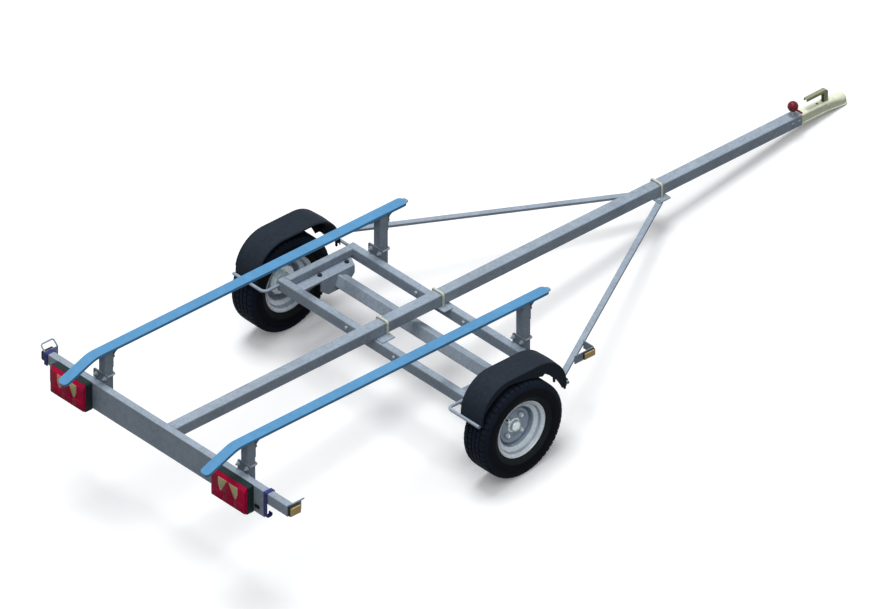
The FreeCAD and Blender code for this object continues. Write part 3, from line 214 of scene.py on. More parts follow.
def lens(name, colour, pitch, gloss):
    """Moulded plastic lens with fine prism ribs, a pitch apart in metres."""
    material, tree, shader = new_material(name, 0.0, gloss)
    shader.inputs["Roughness"].default_value = 0.22
    wave = tree.nodes.new("ShaderNodeTexWave")
    wave.bands_direction = "Y"
    wave.inputs["Scale"].default_value = WAVE_LENGTH / pitch
    wave.inputs["Distortion"].default_value = 0.0
    tree.links.new(object_point(tree), wave.inputs["Vector"])
    depth = ramp(tree, wave.outputs["Fac"], [(0.0, shade(colour, 0.82)), (1.0, shade(colour, 1.12))])
    cloud = greys(tree, noise(tree, 22), (0.35, 0.85), (0.65, 1.0))
    tree.links.new(multiplied(tree, 1.0, depth, cloud), shader.inputs["Base Color"])
    bump(tree, shader, wave.outputs["Fac"], 0.25, RIB_DEPTH)
    return material


ZINCS = {
    # name: share of the steel's tone, crystals to the metre
    "galvanised": (1.0, 85),
    # painted shade: the frame's zinc darkened to the tone of the posts' shaded sides
    "post_zinc": (0.85, 85),
    # painted shade: the frame's zinc darkened much further, to the tone the lugs and brackets have in shade
    "lug_zinc": (0.6, 85),
    "board_sheet": (0.95, 60),
}
SURFACES = {
    # name: colour, metallic, roughness, gloss, spread of tone, scale of mottling, relief
    "zinc_fixings": ((0.68, 0.69, 0.58), 0.1, 0.36, 0.15, 0.10, 60, 0.05),
    "bright_zinc": ((0.86, 0.90, 0.94), 0.15, 0.30, 0.3, 0.08, 60, 0.05),
    "dull_zinc": ((0.44, 0.49, 0.54), 0.08, 0.4, 0.15, 0.10, 60, 0.05),
    "hub_zinc": ((0.84, 0.94, 1.0), 0.40, 0.24, 0.3, 0.08, 40, 0.05),
    "coupling_zinc": ((0.86, 0.91, 0.70), 0.04, 0.42, 0.1, 0.08, 45, 0.05),
    "lever_zinc": ((0.30, 0.33, 0.20), 0.06, 0.42, 0.15, 0.10, 45, 0.05),
    "bunk_blue": ((0.115, 0.325, 0.57), 0.0, 0.5, 0.1, 0.06, 30, 0.08),
    "guard_black": ((0.025, 0.033, 0.045), 0.0, 0.62, 0.03, 0.14, 50, 0.4),
    "lamp_black": ((0.025, 0.040, 0.041), 0.0, 0.5, 0.06, 0.15, 60, 0.3),
    "hook_blue": ((0.045, 0.049, 0.21), 0.0, 0.45, 0.08, 0.12, 60, 0.05),
    "knob_red": ((0.20, 0.010, 0.022), 0.0, 0.3, 0.2, 0.1, 50, 0.05),
    "bolt_dark": ((0.03, 0.035, 0.045), 0.1, 0.5, 0.1, 0.15, 80, 0.05),
    "rubber_black": ((0.012, 0.012, 0.013), 0.0, 0.7, 0.06, 0.2, 60, 0.3),
}
LENSES = {
    # name: colour, pitch of the ribs in metres, gloss
    "marker_amber": ((0.82, 0.57, 0.22), 0.004, 0.15),
    "lamp_red": ((0.60, 0.012, 0.07), 0.005, 0.015),
    "window_pale": ((0.72, 0.66, 0.34), 0.004, 0.1),
    "window_amber": ((1.0, 0.35, 0.11), 0.004, 0.1),
}
# each band is a radius in millimetres and the colour there
# painted sheen: the lighter ring by the rim and the lighter bluish shoulder and tread stand in for light on the
# sidewall's bulge, with black between
TYRE_SHEEN_BANDS = [
    (150, (0.026, 0.030, 0.034)),
    (168, (0.022, 0.026, 0.030)),
    (176, (0.005, 0.006, 0.009)),
    (208, (0.005, 0.006, 0.009)),
    (220, (0.014, 0.020, 0.032)),
    (245, (0.015, 0.021, 0.034)),
]
# painted shade: the disc within 100 mm is dark slate and the ring at 123.5 to 126.5 mm is shade in the rim's step,
# on the rim's pale silver
WHEEL_SHADE_BANDS = [
    (60, (0.33, 0.40, 0.49)),
    (98, (0.33, 0.40, 0.49)),
    (102, (0.50, 0.59, 0.70)),
    (104, (0.87, 0.96, 1.0)),
    (120, (0.87, 0.96, 1.0)),
    (123.5, (0.48, 0.56, 0.67)),
    (126.5, (0.50, 0.58, 0.69)),
    (129, (0.87, 0.96, 1.0)),
    (145, (0.87, 0.96, 1.0)),
]
RADIALS = {
    # name: metallic, gloss, roughness, scale of mottling, spread of tone, relief, bands
    "tyre_rubber": (0.0, 0.04, 0.7, 26, 0.25, 0.3, TYRE_SHEEN_BANDS),
    "wheel_silver": (0.12, 0.25, 0.26, 30, 0.06, 0.05, WHEEL_SHADE_BANDS),
}
materials = {}
for make, table in ((zinc, ZINCS), (surface, SURFACES), (lens, LENSES), (radial, RADIALS)):
    for name, values in table.items():
        materials[name] = make(name, *values)

# nodes whose look isn't that of their material slot
LOOKS = {
    # painted shade: posts, marker brackets and bunk cores take the zinc darkened to the tone of shaded sides
    "front_post_left": "post_zinc",
    "front_post_right": "post_zinc",
    "rear_post_left": "post_zinc",
    "rear_post_right": "post_zinc",
    # painted shade: the lugs and bunk brackets take the zinc darkened to the tone of shade
    "post_lugs": "lug_zinc",
    "bunk_brackets": "lug_zinc",
    "marker_brackets": "post_zinc",
    "hub_left": "hub_zinc",
    "hub_right": "hub_zinc",
    "post_ubolts": "dull_zinc",
}
slot_of = {entry["node"]: entry["material_slot"] for entry in record["subparts"]}
for node, thing in frame["nodes"].items():
    thing.data.materials.clear()
    thing.data.materials.append(materials[LOOKS.get(node, slot_of[node])])


# ---------------------------------------------------------------- mesh tools, in level millimetres
ROUND = 24
THREAD_DEPTH = 0.55
RIPPLE = 4.5


def along(axis, point):
    """A frame at a point whose local Z runs along an axis."""
    turn = Vector(axis).normalized().to_track_quat("Z", "Y").to_matrix().to_4x4()
    return Matrix.Translation(point) @ turn


def bridge(mesh, lower, upper):
    count = len(lower)
    for k in range(count):
        following = (k + 1) % count
        mesh.faces.new((lower[k], lower[following], upper[following], upper[k]))


def add_loft(mesh, rings):
    """Closed skin through rings of points that all have the same number of points."""
    loops = [[mesh.verts.new(p) for p in ring] for ring in rings]
    for lower, upper in zip(loops, loops[1:]):
        bridge(mesh, lower, upper)
    mesh.faces.new(loops[0][::-1])
    mesh.faces.new(loops[-1])


def ring(place, radius, height, steps=ROUND):
    points = []
    for k in range(steps):
        turn = math.tau * k / steps
        points.append(place @ Vector((radius * math.cos(turn), radius * math.sin(turn), height)))
    return points


def add_turned(mesh, place, profile, steps=ROUND):
    """A closed turned solid; the profile is (radius, height) from below upwards."""
    add_loft(mesh, [ring(place, radius, height, steps) for radius, height in profile])


def hexagon(place, across, height):
    """A hexagon's outline with as many points as a ring, for smooth chamfers."""
    points = []
    for k in range(ROUND):
        turn = math.tau * k / ROUND
        local = (turn + math.pi / 6) % (math.pi / 3) - math.pi / 6
        reach = across / 2 / math.cos(local)
        points.append(place @ Vector((reach * math.cos(turn), reach * math.sin(turn), height)))
    return points


def add_hex(mesh, place, across, height, bore=0.0):
    """A hexagon head or nut whose corners are chamfered at the top."""
    rings = [
        hexagon(place, across * 0.97, 0),
        hexagon(place, across, height * 0.08),
        hexagon(place, across, height * 0.80),
        ring(place, across * 0.485, height),
    ]
    if bore:
        rings += [ring(place, bore, height), ring(place, bore, height * 0.9)]
    add_loft(mesh, rings)


def add_thread(mesh, place, radius, length, pitch=1.75):
    """A screw thread: roots and crests by turns up each column, and a rise of a pitch in one turn."""
    steps = 18
    rows = 2 * max(int(length / pitch), 1)
    columns = []
    for k in range(steps):
        turn = math.tau * k / steps
        lift = pitch * k / steps
        column = []
        for row in range(rows + 1):
            reach = radius if row % 2 else radius - THREAD_DEPTH
            height = row * pitch / 2 + lift
            point = Vector((reach * math.cos(turn), reach * math.sin(turn), height))
            column.append(mesh.verts.new(place @ point))
        columns.append(column)
    first, last = columns[0], columns[-1]
    for k in range(steps):
        here, there = columns[k], columns[(k + 1) % steps]
        # the last column meets the first one a pitch higher up
        shift = 2 if here is last else 0
        for row in range(rows - shift):
            mesh.faces.new((here[row + shift], there[row], there[row + 1], here[row + 1 + shift]))
    foot = mesh.verts.new(place @ Vector((0, 0, 0)))
    crown = mesh.verts.new(place @ Vector((0, 0, rows * pitch / 2 + pitch / 2)))
    for here, there in zip(columns, columns[1:]):
        mesh.faces.new((there[0], here[0], foot))
        mesh.faces.new((here[rows], there[rows], crown))
    # the pitch of height left open where the two ends of the thread run out
    for row in range(2):
        mesh.faces.new((last[row], last[row + 1], foot))
        mesh.faces.new((first[rows - row], first[rows - row - 1], crown))
    mesh.faces.new((first[0], last[2], foot))
    mesh.faces.new((last[rows], first[rows - 2], crown))


def add_bolt(mesh, place, across, height, tip=0.0, rod=0.0):
    """Washer and hexagon, with the end of a threaded rod standing out of it if there is one."""
    washer = across * 0.62
    thick = across * 0.11
    rim = thick * 0.3
    profile = [(washer - rim, 0), (washer, rim), (washer, thick - rim), (washer - rim, thick)]
    add_turned(mesh, place, profile)
    lifted = place @ Matrix.Translation((0, 0, thick))
    add_hex(mesh, lifted, across, height, rod * 1.02)
    if tip:
        add_thread(mesh, lifted @ Matrix.Translation((0, 0, height * 0.9)), rod, tip)


def add_bead(mesh, start, end, radius):
    """A weld bead between two points, rippled along its length."""
    start, end = Vector(start), Vector(end)
    run = end - start
    place = along(run, start)
    count = max(int(run.length / RIPPLE) * 3, 6)
    rings = []
    for k in range(count + 1):
        share = k / count
        swell = 1 + 0.10 * math.sin(share * run.length / RIPPLE * math.tau)
        end_taper = min(1.0, 0.45 + 6 * min(share, 1 - share))
        rings.append(ring(place, radius * swell * end_taper, share * run.length, 10))
    add_loft(mesh, rings)


def add_slab(mesh, place, outline, thick, bevel):
    """An upright prism with the given outline, and a bevel round its upper face."""
    count = len(outline)
    centre = Vector((sum(p[0] for p in outline) / count, sum(p[1] for p in outline) / count))

    def level_ring(inset, height):
        points = []
        for x, y in outline:
            away = (Vector((x, y)) - centre).normalized() * inset
            points.append(place @ Vector((x - away.x, y - away.y, height)))
        return points

    rings = [
        level_ring(0, 0),
        level_ring(0, thick - bevel),
        level_ring(bevel * 0.4, thick - bevel * 0.35),
        level_ring(bevel * 1.2, thick),
    ]
    add_loft(mesh, rings)


def rounded(corners, fineness=12.0):
    """Points of a closed outline whose corners are (x, y, radius), some degrees apart on the arcs."""
    points = []
    for k, (x, y, radius) in enumerate(corners):
        here = Vector((x, y))
        if not radius:
            points.append(here)
            continue
        back = (Vector(corners[k - 1][:2]) - here).normalized()
        ahead = (Vector(corners[(k + 1) % len(corners)][:2]) - here).normalized()
        half = back.angle(ahead) / 2
        centre = here + (back + ahead).normalized() * radius / math.sin(half)
        first = here + back * radius / math.tan(half) - centre
        last = here + ahead * radius / math.tan(half) - centre
        swing = math.atan2(first.x * last.y - first.y * last.x, first.dot(last))
        steps = max(int(abs(math.degrees(swing)) / fineness), 2)
        for step in range(steps + 1):
            turn = Matrix.Rotation(swing * step / steps, 2)
            points.append(centre + turn @ first)
    return points


def box_corners(left, right, low, high, radius):
    """The corners of a rectangle, for rounded()."""
    return [(left, low, radius), (right, low, radius), (right, high, radius), (left, high, radius)]


def finish_piece(name, mesh, look, body="trailer", smooth=35.0):
    """Turns a level millimetre mesh into a piece that rides on a body."""
    bmesh.ops.recalc_face_normals(mesh, faces=mesh.faces)
    bmesh.ops.transform(mesh, matrix=LEVEL_MM, verts=mesh.verts)
    data = bpy.data.meshes.new(name)
    mesh.to_mesh(data)
    mesh.free()
    data.polygons.foreach_set("use_smooth", [True] * len(data.polygons))
    data.set_sharp_from_angle(angle=math.radians(smooth))
    data.materials.append(materials[look])
    piece = bpy.data.objects.new(name, data)
    bpy.context.scene.collection.objects.link(piece)
    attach(piece, body)
    return piece


# ---------------------------------------------------------------- tyres
TYRE_HALF_WIDTH = 78.0
RIM_SEAT, RIM_FLANGE, RIM_HALF_WIDTH = 127.0, 144.5, 60.0
PITCHES = 52
GROOVE_DEPTH = 6.5
# the cross grooves run aslant, by this share of a pitch between the middle plane and this
# distance from it
SLANT, SLANT_END = 0.42, 42
SHOULDER_RADIUS = TYRE_RADIUS - 15
# share of a tread pitch, and whether the cross groove is cut there
COLUMNS = [(0.0, 0), (0.03, 1), (0.20, 1), (0.23, 0), (0.49, 0), (0.75, 0)]
SIDEWALL = [
    # radius, distance from the middle plane, rounding: from the bead to the shoulder
    (RIM_SEAT + 0.8, 34, 0),
    (RIM_SEAT + 4.8, RIM_HALF_WIDTH - 12.8, 3),
    (RIM_FLANGE + 0.8, RIM_HALF_WIDTH - 7, 0),
    (RIM_FLANGE + 5.5, RIM_HALF_WIDTH + 2, 6),
    (172, TYRE_HALF_WIDTH - 1, 30),
    (205, TYRE_HALF_WIDTH, 60),
    (TYRE_RADIUS - 17, TYRE_HALF_WIDTH - 5, 0),
]
# radius and height of the raised rings on the sidewall, and the half widths of their foot and top
RIBS = [(168, 0.9), (214, 1.2), (219, 1.2)]
RIB_FOOT, RIB_TOP = 1.4, 0.7
TREAD = [
    # distance from the middle plane, radius, share of the cross grooves' depth, 1 where a groove
    # runs all the way round
    (71.0, TYRE_RADIUS - 12.0, 0.5, 0),
    (68.5, TYRE_RADIUS - 6.0, 0.9, 0),
    (65.5, TYRE_RADIUS - 2.2, 1.0, 0),
    (62.0, TYRE_RADIUS - 1.2, 1.0, 0),
    (52.0, TYRE_RADIUS - 0.5, 1.0, 0),
    (42.5, TYRE_RADIUS, 1.0, 0),
    (41.8, TYRE_RADIUS, 1.0, 1),
    (35.8, TYRE_RADIUS, 0.9, 1),
    (35.1, TYRE_RADIUS, 0.9, 0),
    (25.0, TYRE_RADIUS, 0.9, 0),
    (14.9, TYRE_RADIUS, 0.9, 0),
    (14.2, TYRE_RADIUS, 0.0, 1),
    (8.8, TYRE_RADIUS, 0.0, 1),
    (8.1, TYRE_RADIUS, 0.0, 0),
]
# radius and distance from the middle plane, from the bead to the crown
INSIDE = [(146, 40), (162, 60), (180, 66), (200, 68), (220, 62), (231, 45), (233, 30)]


def tyre_rows():
    """Rows round the tyre's section: radius, distance across, groove depth, always a groove."""
    outline = rounded([(RIM_SEAT + 0.8, 0, 0)] + SIDEWALL, 9.0)[1:]
    wall = []
    for (radius, across), (next_radius, next_across) in zip(outline, outline[1:]):
        wall.append((radius, across, 0.0, 0))
        for rib, height in RIBS:
            if radius < rib <= next_radius:
                for step, lift in ((-RIB_FOOT, 0), (-RIB_TOP, height), (RIB_TOP, height), (RIB_FOOT, 0)):
                    share = (rib + step - radius) / (next_radius - radius)
                    t = across + (next_across - across) * share
                    wall.append((rib + step, min(t + lift, TYRE_HALF_WIDTH), 0.0, 0))
    wall.append((*outline[-1], 0.0, 0))
    tread = [(radius, t, depth, always) for t, radius, depth, always in TREAD]
    half = wall + tread
    mirrored = [(r, -t, depth, always) for r, t, depth, always in reversed(half)]
    inside = [(r, -t, 0.0, 0) for r, t in INSIDE] + [(r, t, 0.0, 0) for r, t in reversed(INSIDE)]
    return half + mirrored + inside


def make_tyre(side, sign):
    mesh = bmesh.new()
    rows = tyre_rows()
    place = Matrix.Translation((0, sign * half_track, 0))
    pitch = math.tau / PITCHES
    loops = []
    for k in range(PITCHES):
        for share, cut_here in COLUMNS:
            loop = []
            for radius, across, depth, always in rows:
                slant = SLANT
                if radius > SHOULDER_RADIUS:
                    slant = SLANT * min(abs(across), SLANT_END) / SLANT_END
                turn = pitch * (k + share + slant)
                drop = GROOVE_DEPTH * max(depth * cut_here, always)
                reach = radius - drop
                point = Vector((reach * math.cos(turn), across, reach * math.sin(turn)))
                loop.append(mesh.verts.new(place @ point))
            loops.append(loop)
    for k, loop in enumerate(loops):
        bridge(mesh, loop, loops[(k + 1) % len(loops)])
    tyre = finish_piece(f"tyre_tread_{side}", mesh, "tyre_rubber", f"wheel_{side}", 28)
    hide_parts(f"tyre_{side}")


# ---------------------------------------------------------------- wheel fixings
STUD_CIRCLE = 57.5
DISC_FACE = 4.0
# profiles are radius and height, from the foot outwards
NUT_SEAT = [(8.5, -0.5), (11.5, 3.5), (11.5, 4.5), (9, 5)]
GREASE_CAP = [
    # the height is out from the wheel's middle plane
    (31.0, 5.0),
    (32.0, 6.0),
    (32.0, 8.0),
    (31.0, 9.0),
    (29.6, 9.5),
    (28.9, 10.5),
    (28.8, 20.0),
    (27.8, 24.5),
    (25.2, 28.5),
    (20.8, 31.8),
    (14.5, 34.2),
    (7.5, 35.6),
    (2.0, 36.0),
]
VALVE = [(5.5, -6), (7, -3), (6.6, 0), (4.2, 3), (3.2, 7), (3.2, 11), (3.9, 11.4), (3.9, 17), (2.8, 18)]
# the valve leans inwards as it comes out of the rim
VALVE_TURN, VALVE_CIRCLE, VALVE_HEIGHT = math.radians(134), 111.0, 31
VALVE_INWARDS, VALVE_OUT = 0.42, 0.9


def make_wheel_fixings(side, sign):
    # local Z points out of the wheel and local Y up
    facing_out = Matrix(((-sign, 0, 0), (0, 0, sign), (0, 1, 0))).to_4x4()
    place = Matrix.Translation((0, sign * half_track, 0)) @ facing_out
    nuts = bmesh.new()
    for k in range(4):
        turn = math.radians(45 + 90 * k)
        spot = (STUD_CIRCLE * math.cos(turn), STUD_CIRCLE * math.sin(turn), DISC_FACE)
        seat = place @ Matrix.Translation(spot)
        add_turned(nuts, seat, NUT_SEAT)
        add_hex(nuts, seat @ Matrix.Translation((0, 0, 4.5)), 19, 9.5, 6.2)
    finish_piece(f"wheel_nuts_{side}", nuts, "bright_zinc", f"wheel_{side}")
    cap = bmesh.new()
    add_turned(cap, place, GREASE_CAP, 48)
    finish_piece(f"grease_cap_{side}", cap, "hub_zinc", f"wheel_{side}")
    valve = bmesh.new()
    across, up = math.cos(VALVE_TURN), math.sin(VALVE_TURN)
    foot = Vector((VALVE_CIRCLE * across, VALVE_CIRCLE * up, VALVE_HEIGHT))
    stem = place @ along((-VALVE_INWARDS * across, -VALVE_INWARDS * up, VALVE_OUT), foot)
    add_turned(valve, stem, VALVE, 20)
    finish_piece(f"valve_{side}", valve, "rubber_black", f"wheel_{side}")


# ---------------------------------------------------------------- bolts, nuts and washers
UP, DOWN = (0, 0, 1), (0, 0, -1)
BACKWARDS, FORWARDS = (-1, 0, 0), (1, 0, 0)
AXLE_BOLTS_X, AXLE_BOLT_Y = (47, 213), 580
CROSS_BOLT_Y, CROSS_BOLT_Z = 163, 120
STRUT_BOLT_X, STRUT_BOLT_Y = 1577, 54
RIVETS_X, RIVET_Z = (2436, 2476), 180
RIVET = [(9.5, -0.5), (9.5, 0.3), (8.4, 2.2), (5.5, 3.8), (1.6, 4.5)]
# places of the U-bolts and how far their legs are from their middle
DRAWBAR_UBOLTS, DRAWBAR_SPAN = (258, -85, 1611), 36.3
DRAWBAR_NUT, DRAWBAR_WASHER = 10, [(12, 0), (12.6, 0.6), (12.6, 2), (12, 2.5)]
POST_SPAN, POST_UBOLT_RISE = 29.3, 26
POST_NUT, POST_WASHER = 8, [(10.5, -0.2), (11, 0.4), (11, 1.8), (10.5, 2.2)]
POSTS = [
    # front face of the beam, top of the beam
    (BEAM_FRONT, DRAWBAR_TOP),
    (FRONT_CROSS_X + HALF_TUBE, CROSS_TOP),
]
BRACKET_SHEET, BRACKET_FOOT, BRACKET_BOLT_DROP = 5, 52, 51


def make_plate_bolts():
    """The bolts that hold the axle's plates to the frame, with their nuts below."""
    dark = bmesh.new()
    for x in AXLE_BOLTS_X:
        for y in (-AXLE_BOLT_Y, AXLE_BOLT_Y):
            add_bolt(dark, along(UP, (x, y, PLATE_TOP)), 19, 7)
            add_bolt(dark, along(DOWN, (x, y, PLATE_TOP - PLATE_SHEET)), 19, 9, tip=6, rod=5)
    finish_piece("axle_plate_bolts", dark, "bolt_dark")


def make_frame_bolts():
    """Light bolts through the cross members and the struts' ends, and the coupling's rivets."""
    light = bmesh.new()
    for x in (REAR_CROSS_X, FRONT_CROSS_X):
        for y in (-CROSS_BOLT_Y, CROSS_BOLT_Y):
            add_bolt(light, along(BACKWARDS, (x - HALF_TUBE, y, CROSS_BOLT_Z)), 15, 8)
            nut = along(FORWARDS, (x + HALF_TUBE, y, CROSS_BOLT_Z))
            add_bolt(light, nut, 15, 8, tip=6, rod=4.5)
    domes = bmesh.new()
    for x in RIVETS_X:
        for sign in (-1, 1):
            add_turned(domes, along((0, sign, 0), (x, sign * HALF_DRAWBAR, RIVET_Z)), RIVET)
    finish_piece("coupling_rivets", domes, "galvanised")
    for y in (-STRUT_BOLT_Y, STRUT_BOLT_Y):
        add_bolt(light, along(UP, (STRUT_BOLT_X, y, DRAWBAR_BASE)), 13, 7)
        nut = along(DOWN, (STRUT_BOLT_X, y, DRAWBAR_BASE - SADDLE_SHEET - STRUT_DEPTH))
        add_bolt(light, nut, 13, 7, tip=5, rod=4)
    finish_piece("frame_bolts", light, "dull_zinc")


def make_ubolt_ends():
    """Washers and threaded ends of the U-bolts, whose nuts are in the CAD."""
    lower = bmesh.new()
    foot = DRAWBAR_BASE - SADDLE_SHEET
    for x in DRAWBAR_UBOLTS:
        for y in (-DRAWBAR_SPAN, DRAWBAR_SPAN):
            add_turned(lower, along(DOWN, (x, y, foot)), DRAWBAR_WASHER)
            place = along(DOWN, (x, y, foot - DRAWBAR_NUT))
            add_thread(lower, place @ Matrix.Translation((0, 0, -1)), 6.2, 12)
    finish_piece("drawbar_ubolt_ends", lower, "zinc_fixings")
    rear = bmesh.new()
    for face, top in POSTS:
        z = top + POST_UBOLT_RISE
        for sign in (-1, 1):
            for y in (sign * POST_Y - POST_SPAN, sign * POST_Y + POST_SPAN):
                add_turned(rear, along(BACKWARDS, (face, y, z)), POST_WASHER)
                place = along(BACKWARDS, (face - POST_NUT, y, z))
                add_thread(rear, place @ Matrix.Translation((0, 0, -1)), 5.2, 9, 1.5)
    finish_piece("post_ubolt_ends", rear, "dull_zinc")


def make_bunk_bolts():
    """Bolts from the bunk brackets up into the bunks, and through the posts."""
    dark = bmesh.new()
    for face, _ in POSTS:
        front = face + LUG_SHEET + POST_SIDE
        for sign in (-1, 1):
            y = sign * POST_Y
            add_bolt(dark, along(DOWN, (front + BRACKET_FOOT, y, BUNK_BASE - BRACKET_SHEET)), 13, 7)
            through = along(FORWARDS, (front + BRACKET_SHEET, y, BUNK_BASE - BRACKET_BOLT_DROP))
            add_bolt(dark, through, 17, 10, tip=12, rod=5)
    finish_piece("bunk_bolts", dark, "bolt_dark")


# ---------------------------------------------------------------- bunk cores
# the outline as seen from above, and the core's underside above the bunk's
CORE_TIP = [(440, -17, 0), (502, -17, 11), (502, 17, 11), (440, 17, 0)]
CORE_RISE, CORE_THICK = 4, 6


def make_bunk_cores():
    """Steel flats inside the bunks, whose rounded tips stand out at the front."""
    core = bmesh.new()
    for sign in (-1, 1):
        place = Matrix.Translation((0, sign * POST_Y, BUNK_BASE + CORE_RISE))
        add_slab(core, place, rounded(CORE_TIP), CORE_THICK, 1)
    # the posts' zinc, darkened by painted shade
    finish_piece("bunk_cores", core, "post_zinc")


# ---------------------------------------------------------------- mudguard fixings
GUARD_FRONT = 290
STAY_RADIUS, STAY_Z = 8, 118
CLAMPS_Y, CLAMP_WIDTH, CLAMP_HALF_HEIGHT = (748, 820), 24, 14
CLAMP_SHAFT = [(8.5, 0), (8.5, 6), (7, 8), (6.2, 28), (5.5, 33), (2.5, 35)]
SKIRT_Y, SKIRT_SHEET = 846.5, 3
SKIRT_ROOT, SKIRT_BACK, SKIRT_FRONT = 284.0, 122, 57
SKIRT_EDGE = [
    # X and Z of the lower edge, from the front backwards
    (137, 226),
    (128, 229),
    (98, 238),
    (66, 247),
    (33, 254),
    (0, 260),
    (-40, 267),
    (-80, 269),
    (-118, 266),
]


def make_guard_clamps():
    """Plastic clamps that hold the mudguards to their front stays, each with a hanging bolt."""
    clamps = bmesh.new()
    bolts = bmesh.new()
    stay_x = GUARD_FRONT + STAY_RADIUS
    low, high = STAY_Z - CLAMP_HALF_HEIGHT, STAY_Z + CLAMP_HALF_HEIGHT
    near, far = GUARD_FRONT - 5, stay_x + 12
    outline = rounded([(near, low, 3), (far, low, 9), (far, high, 9), (near, high, 3)])
    facing_right = Matrix(((1, 0, 0), (0, 0, -1), (0, 1, 0))).to_4x4()
    for sign in (-1, 1):
        for y in CLAMPS_Y:
            place = Matrix.Translation((0, sign * y + CLAMP_WIDTH / 2, 0)) @ facing_right
            add_slab(clamps, place, outline, CLAMP_WIDTH, 1)
            add_turned(clamps, along(DOWN, (stay_x + 1, sign * y, low + 2)), CLAMP_SHAFT, 18)
            add_bolt(bolts, along(UP, (stay_x + 1, sign * y, high - 1)), 13, 6)
    finish_piece("guard_clamps", clamps, "rubber_black")
    finish_piece("guard_clamp_bolts", bolts, "bolt_dark")


def make_guard_skirts():
    """Outer flanges of the mudguards, deepest over the top of the tyre."""
    skirts = bmesh.new()
    root = []
    for step in range(17):
        turn = math.radians(SKIRT_BACK - (SKIRT_BACK - SKIRT_FRONT) * step / 16)
        root.append((SKIRT_ROOT * math.cos(turn), SKIRT_ROOT * math.sin(turn)))
    for sign in (-1, 1):
        turn = Matrix(((1, 0, 0), (0, 0, sign), (0, 1, 0))).to_4x4()
        place = Matrix.Translation((0, sign * SKIRT_Y, 0)) @ turn
        rings = [[place @ Vector((x, z, out)) for x, z in root + SKIRT_EDGE] for out in (0, SKIRT_SHEET)]
        add_loft(skirts, rings)
    finish_piece("guard_skirts", skirts, "guard_black")


# ---------------------------------------------------------------- lamps and light board
LENS_BACK, LENS_DEPTH, LAMP_Z = -1462.0, 12.0, 137.0
LAMPS = [621, -489]
LENS_STEPS = [
    # height, half width, bottom, top, corner radius
    (0, 118, -72, 72, 8),
    (2.5, 118, -72, 72, 8),
    (3.5, 117, -71, 70, 7.5),
    (9.5, 116, -70, 57, 7),
    (11.3, 115, -69, 54.5, 6),
    (LENS_DEPTH, 113.5, -67.5, 53, 5),
]
PANE = [(66, 52), (66, 12), (55, -16), (40, -16), (2, 52)]
TRIANGLE = [(-44, -18, 2), (44, -18, 2), (7, 52, 1), (-7, 52, 1)]
FIELDS, FIELD_LOW, FIELD_HIGH = ((-108, -40), (-34, 34), (40, 108)), -62, -20
LENS_SCREW_X, LENS_SCREWS_Z = 108, (-62, 46)
LENS_SCREW = [(4.2, -0.2), (4.2, 0.8), (3.0, 1.7), (1.0, 1.9)]
# the middles of the board's slots, the grommets' front face, and their height
GROMMETS_Y, GROMMET_X, GROMMET_Z = (749, -633), -1409, 107
HOOK_BACK = -1416
HOOK_RIVETS = [(820, 196), (820, 164), (-692, 196), (-692, 120)]
HOOK_RIVET = [(4.5, -0.3), (4.5, 0.4), (3.4, 1.6), (1.4, 2.2)]


def facing_back(x, y, z):
    """Local X to the right of the trailer, local Y up and local Z to the rear."""
    turn = Matrix(((0, 0, -1), (-1, 0, 0), (0, 1, 0))).to_4x4()
    return Matrix.Translation((x, y, z)) @ turn


def make_lenses():
    """Lenses with a broad slope along the top, in place of the plain ones."""
    for (side, _), y in zip(SIDES, LAMPS):
        mesh = bmesh.new()
        place = facing_back(LENS_BACK + LENS_DEPTH, y, LAMP_Z)
        rings = []
        for height, half_width, low, high, radius in LENS_STEPS:
            outline = rounded(box_corners(-half_width, half_width, low, high, radius))
            rings.append([place @ Vector((p[0], p[1], height)) for p in outline])
        add_loft(mesh, rings)
        lens_piece = finish_piece(f"lens_{side}", mesh, "lamp_red")
        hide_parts(f"lamp_lens_{side}")


def make_lamp_windows():
    """On each lens pale panes behind a red triangle, with moulded fields under them."""
    pale, amber, red, screws = (bmesh.new() for _ in range(4))
    for y in LAMPS:
        place = facing_back(LENS_BACK, y, LAMP_Z)
        for way in (-1, 1):
            pane = rounded([(way * x, height, 2) for x, height in PANE])
            outboard_left = y > 0 and way < 0
            add_slab(amber if outboard_left else pale, place, pane, 1.4, 0.4)
        add_slab(red, place @ Matrix.Translation((0, 0, 1.2)), rounded(TRIANGLE), 2.2, 0.6)
        for left, right in FIELDS:
            field = rounded(box_corners(left, right, FIELD_LOW, FIELD_HIGH, 4))
            add_slab(red, place, field, 1.4, 0.5)
        for x in (-LENS_SCREW_X, LENS_SCREW_X):
            for height in LENS_SCREWS_Z:
                add_turned(screws, place @ Matrix.Translation((x, height, 0)), LENS_SCREW, 18)
    finish_piece("lamp_windows", pale, "window_pale")
    finish_piece("lamp_amber_window", amber, "window_amber")
    finish_piece("lamp_triangles", red, "lamp_red")
    finish_piece("lamp_screws", screws, "bolt_dark")


def make_board_details():
    """Rubber grommets in the board's slots, and rivets through the hooks."""
    rubber, rivets = bmesh.new(), bmesh.new()
    for y in GROMMETS_Y:
        grommet = rounded(box_corners(-18, 18, -10, 10, 9))
        add_slab(rubber, facing_back(GROMMET_X, y, GROMMET_Z), grommet, 6, 2)
    finish_piece("board_grommets", rubber, "rubber_black")
    for y, z in HOOK_RIVETS:
        add_turned(rivets, facing_back(HOOK_BACK, y, z), HOOK_RIVET, 18)
    finish_piece("hook_rivets", rivets, "bolt_dark")


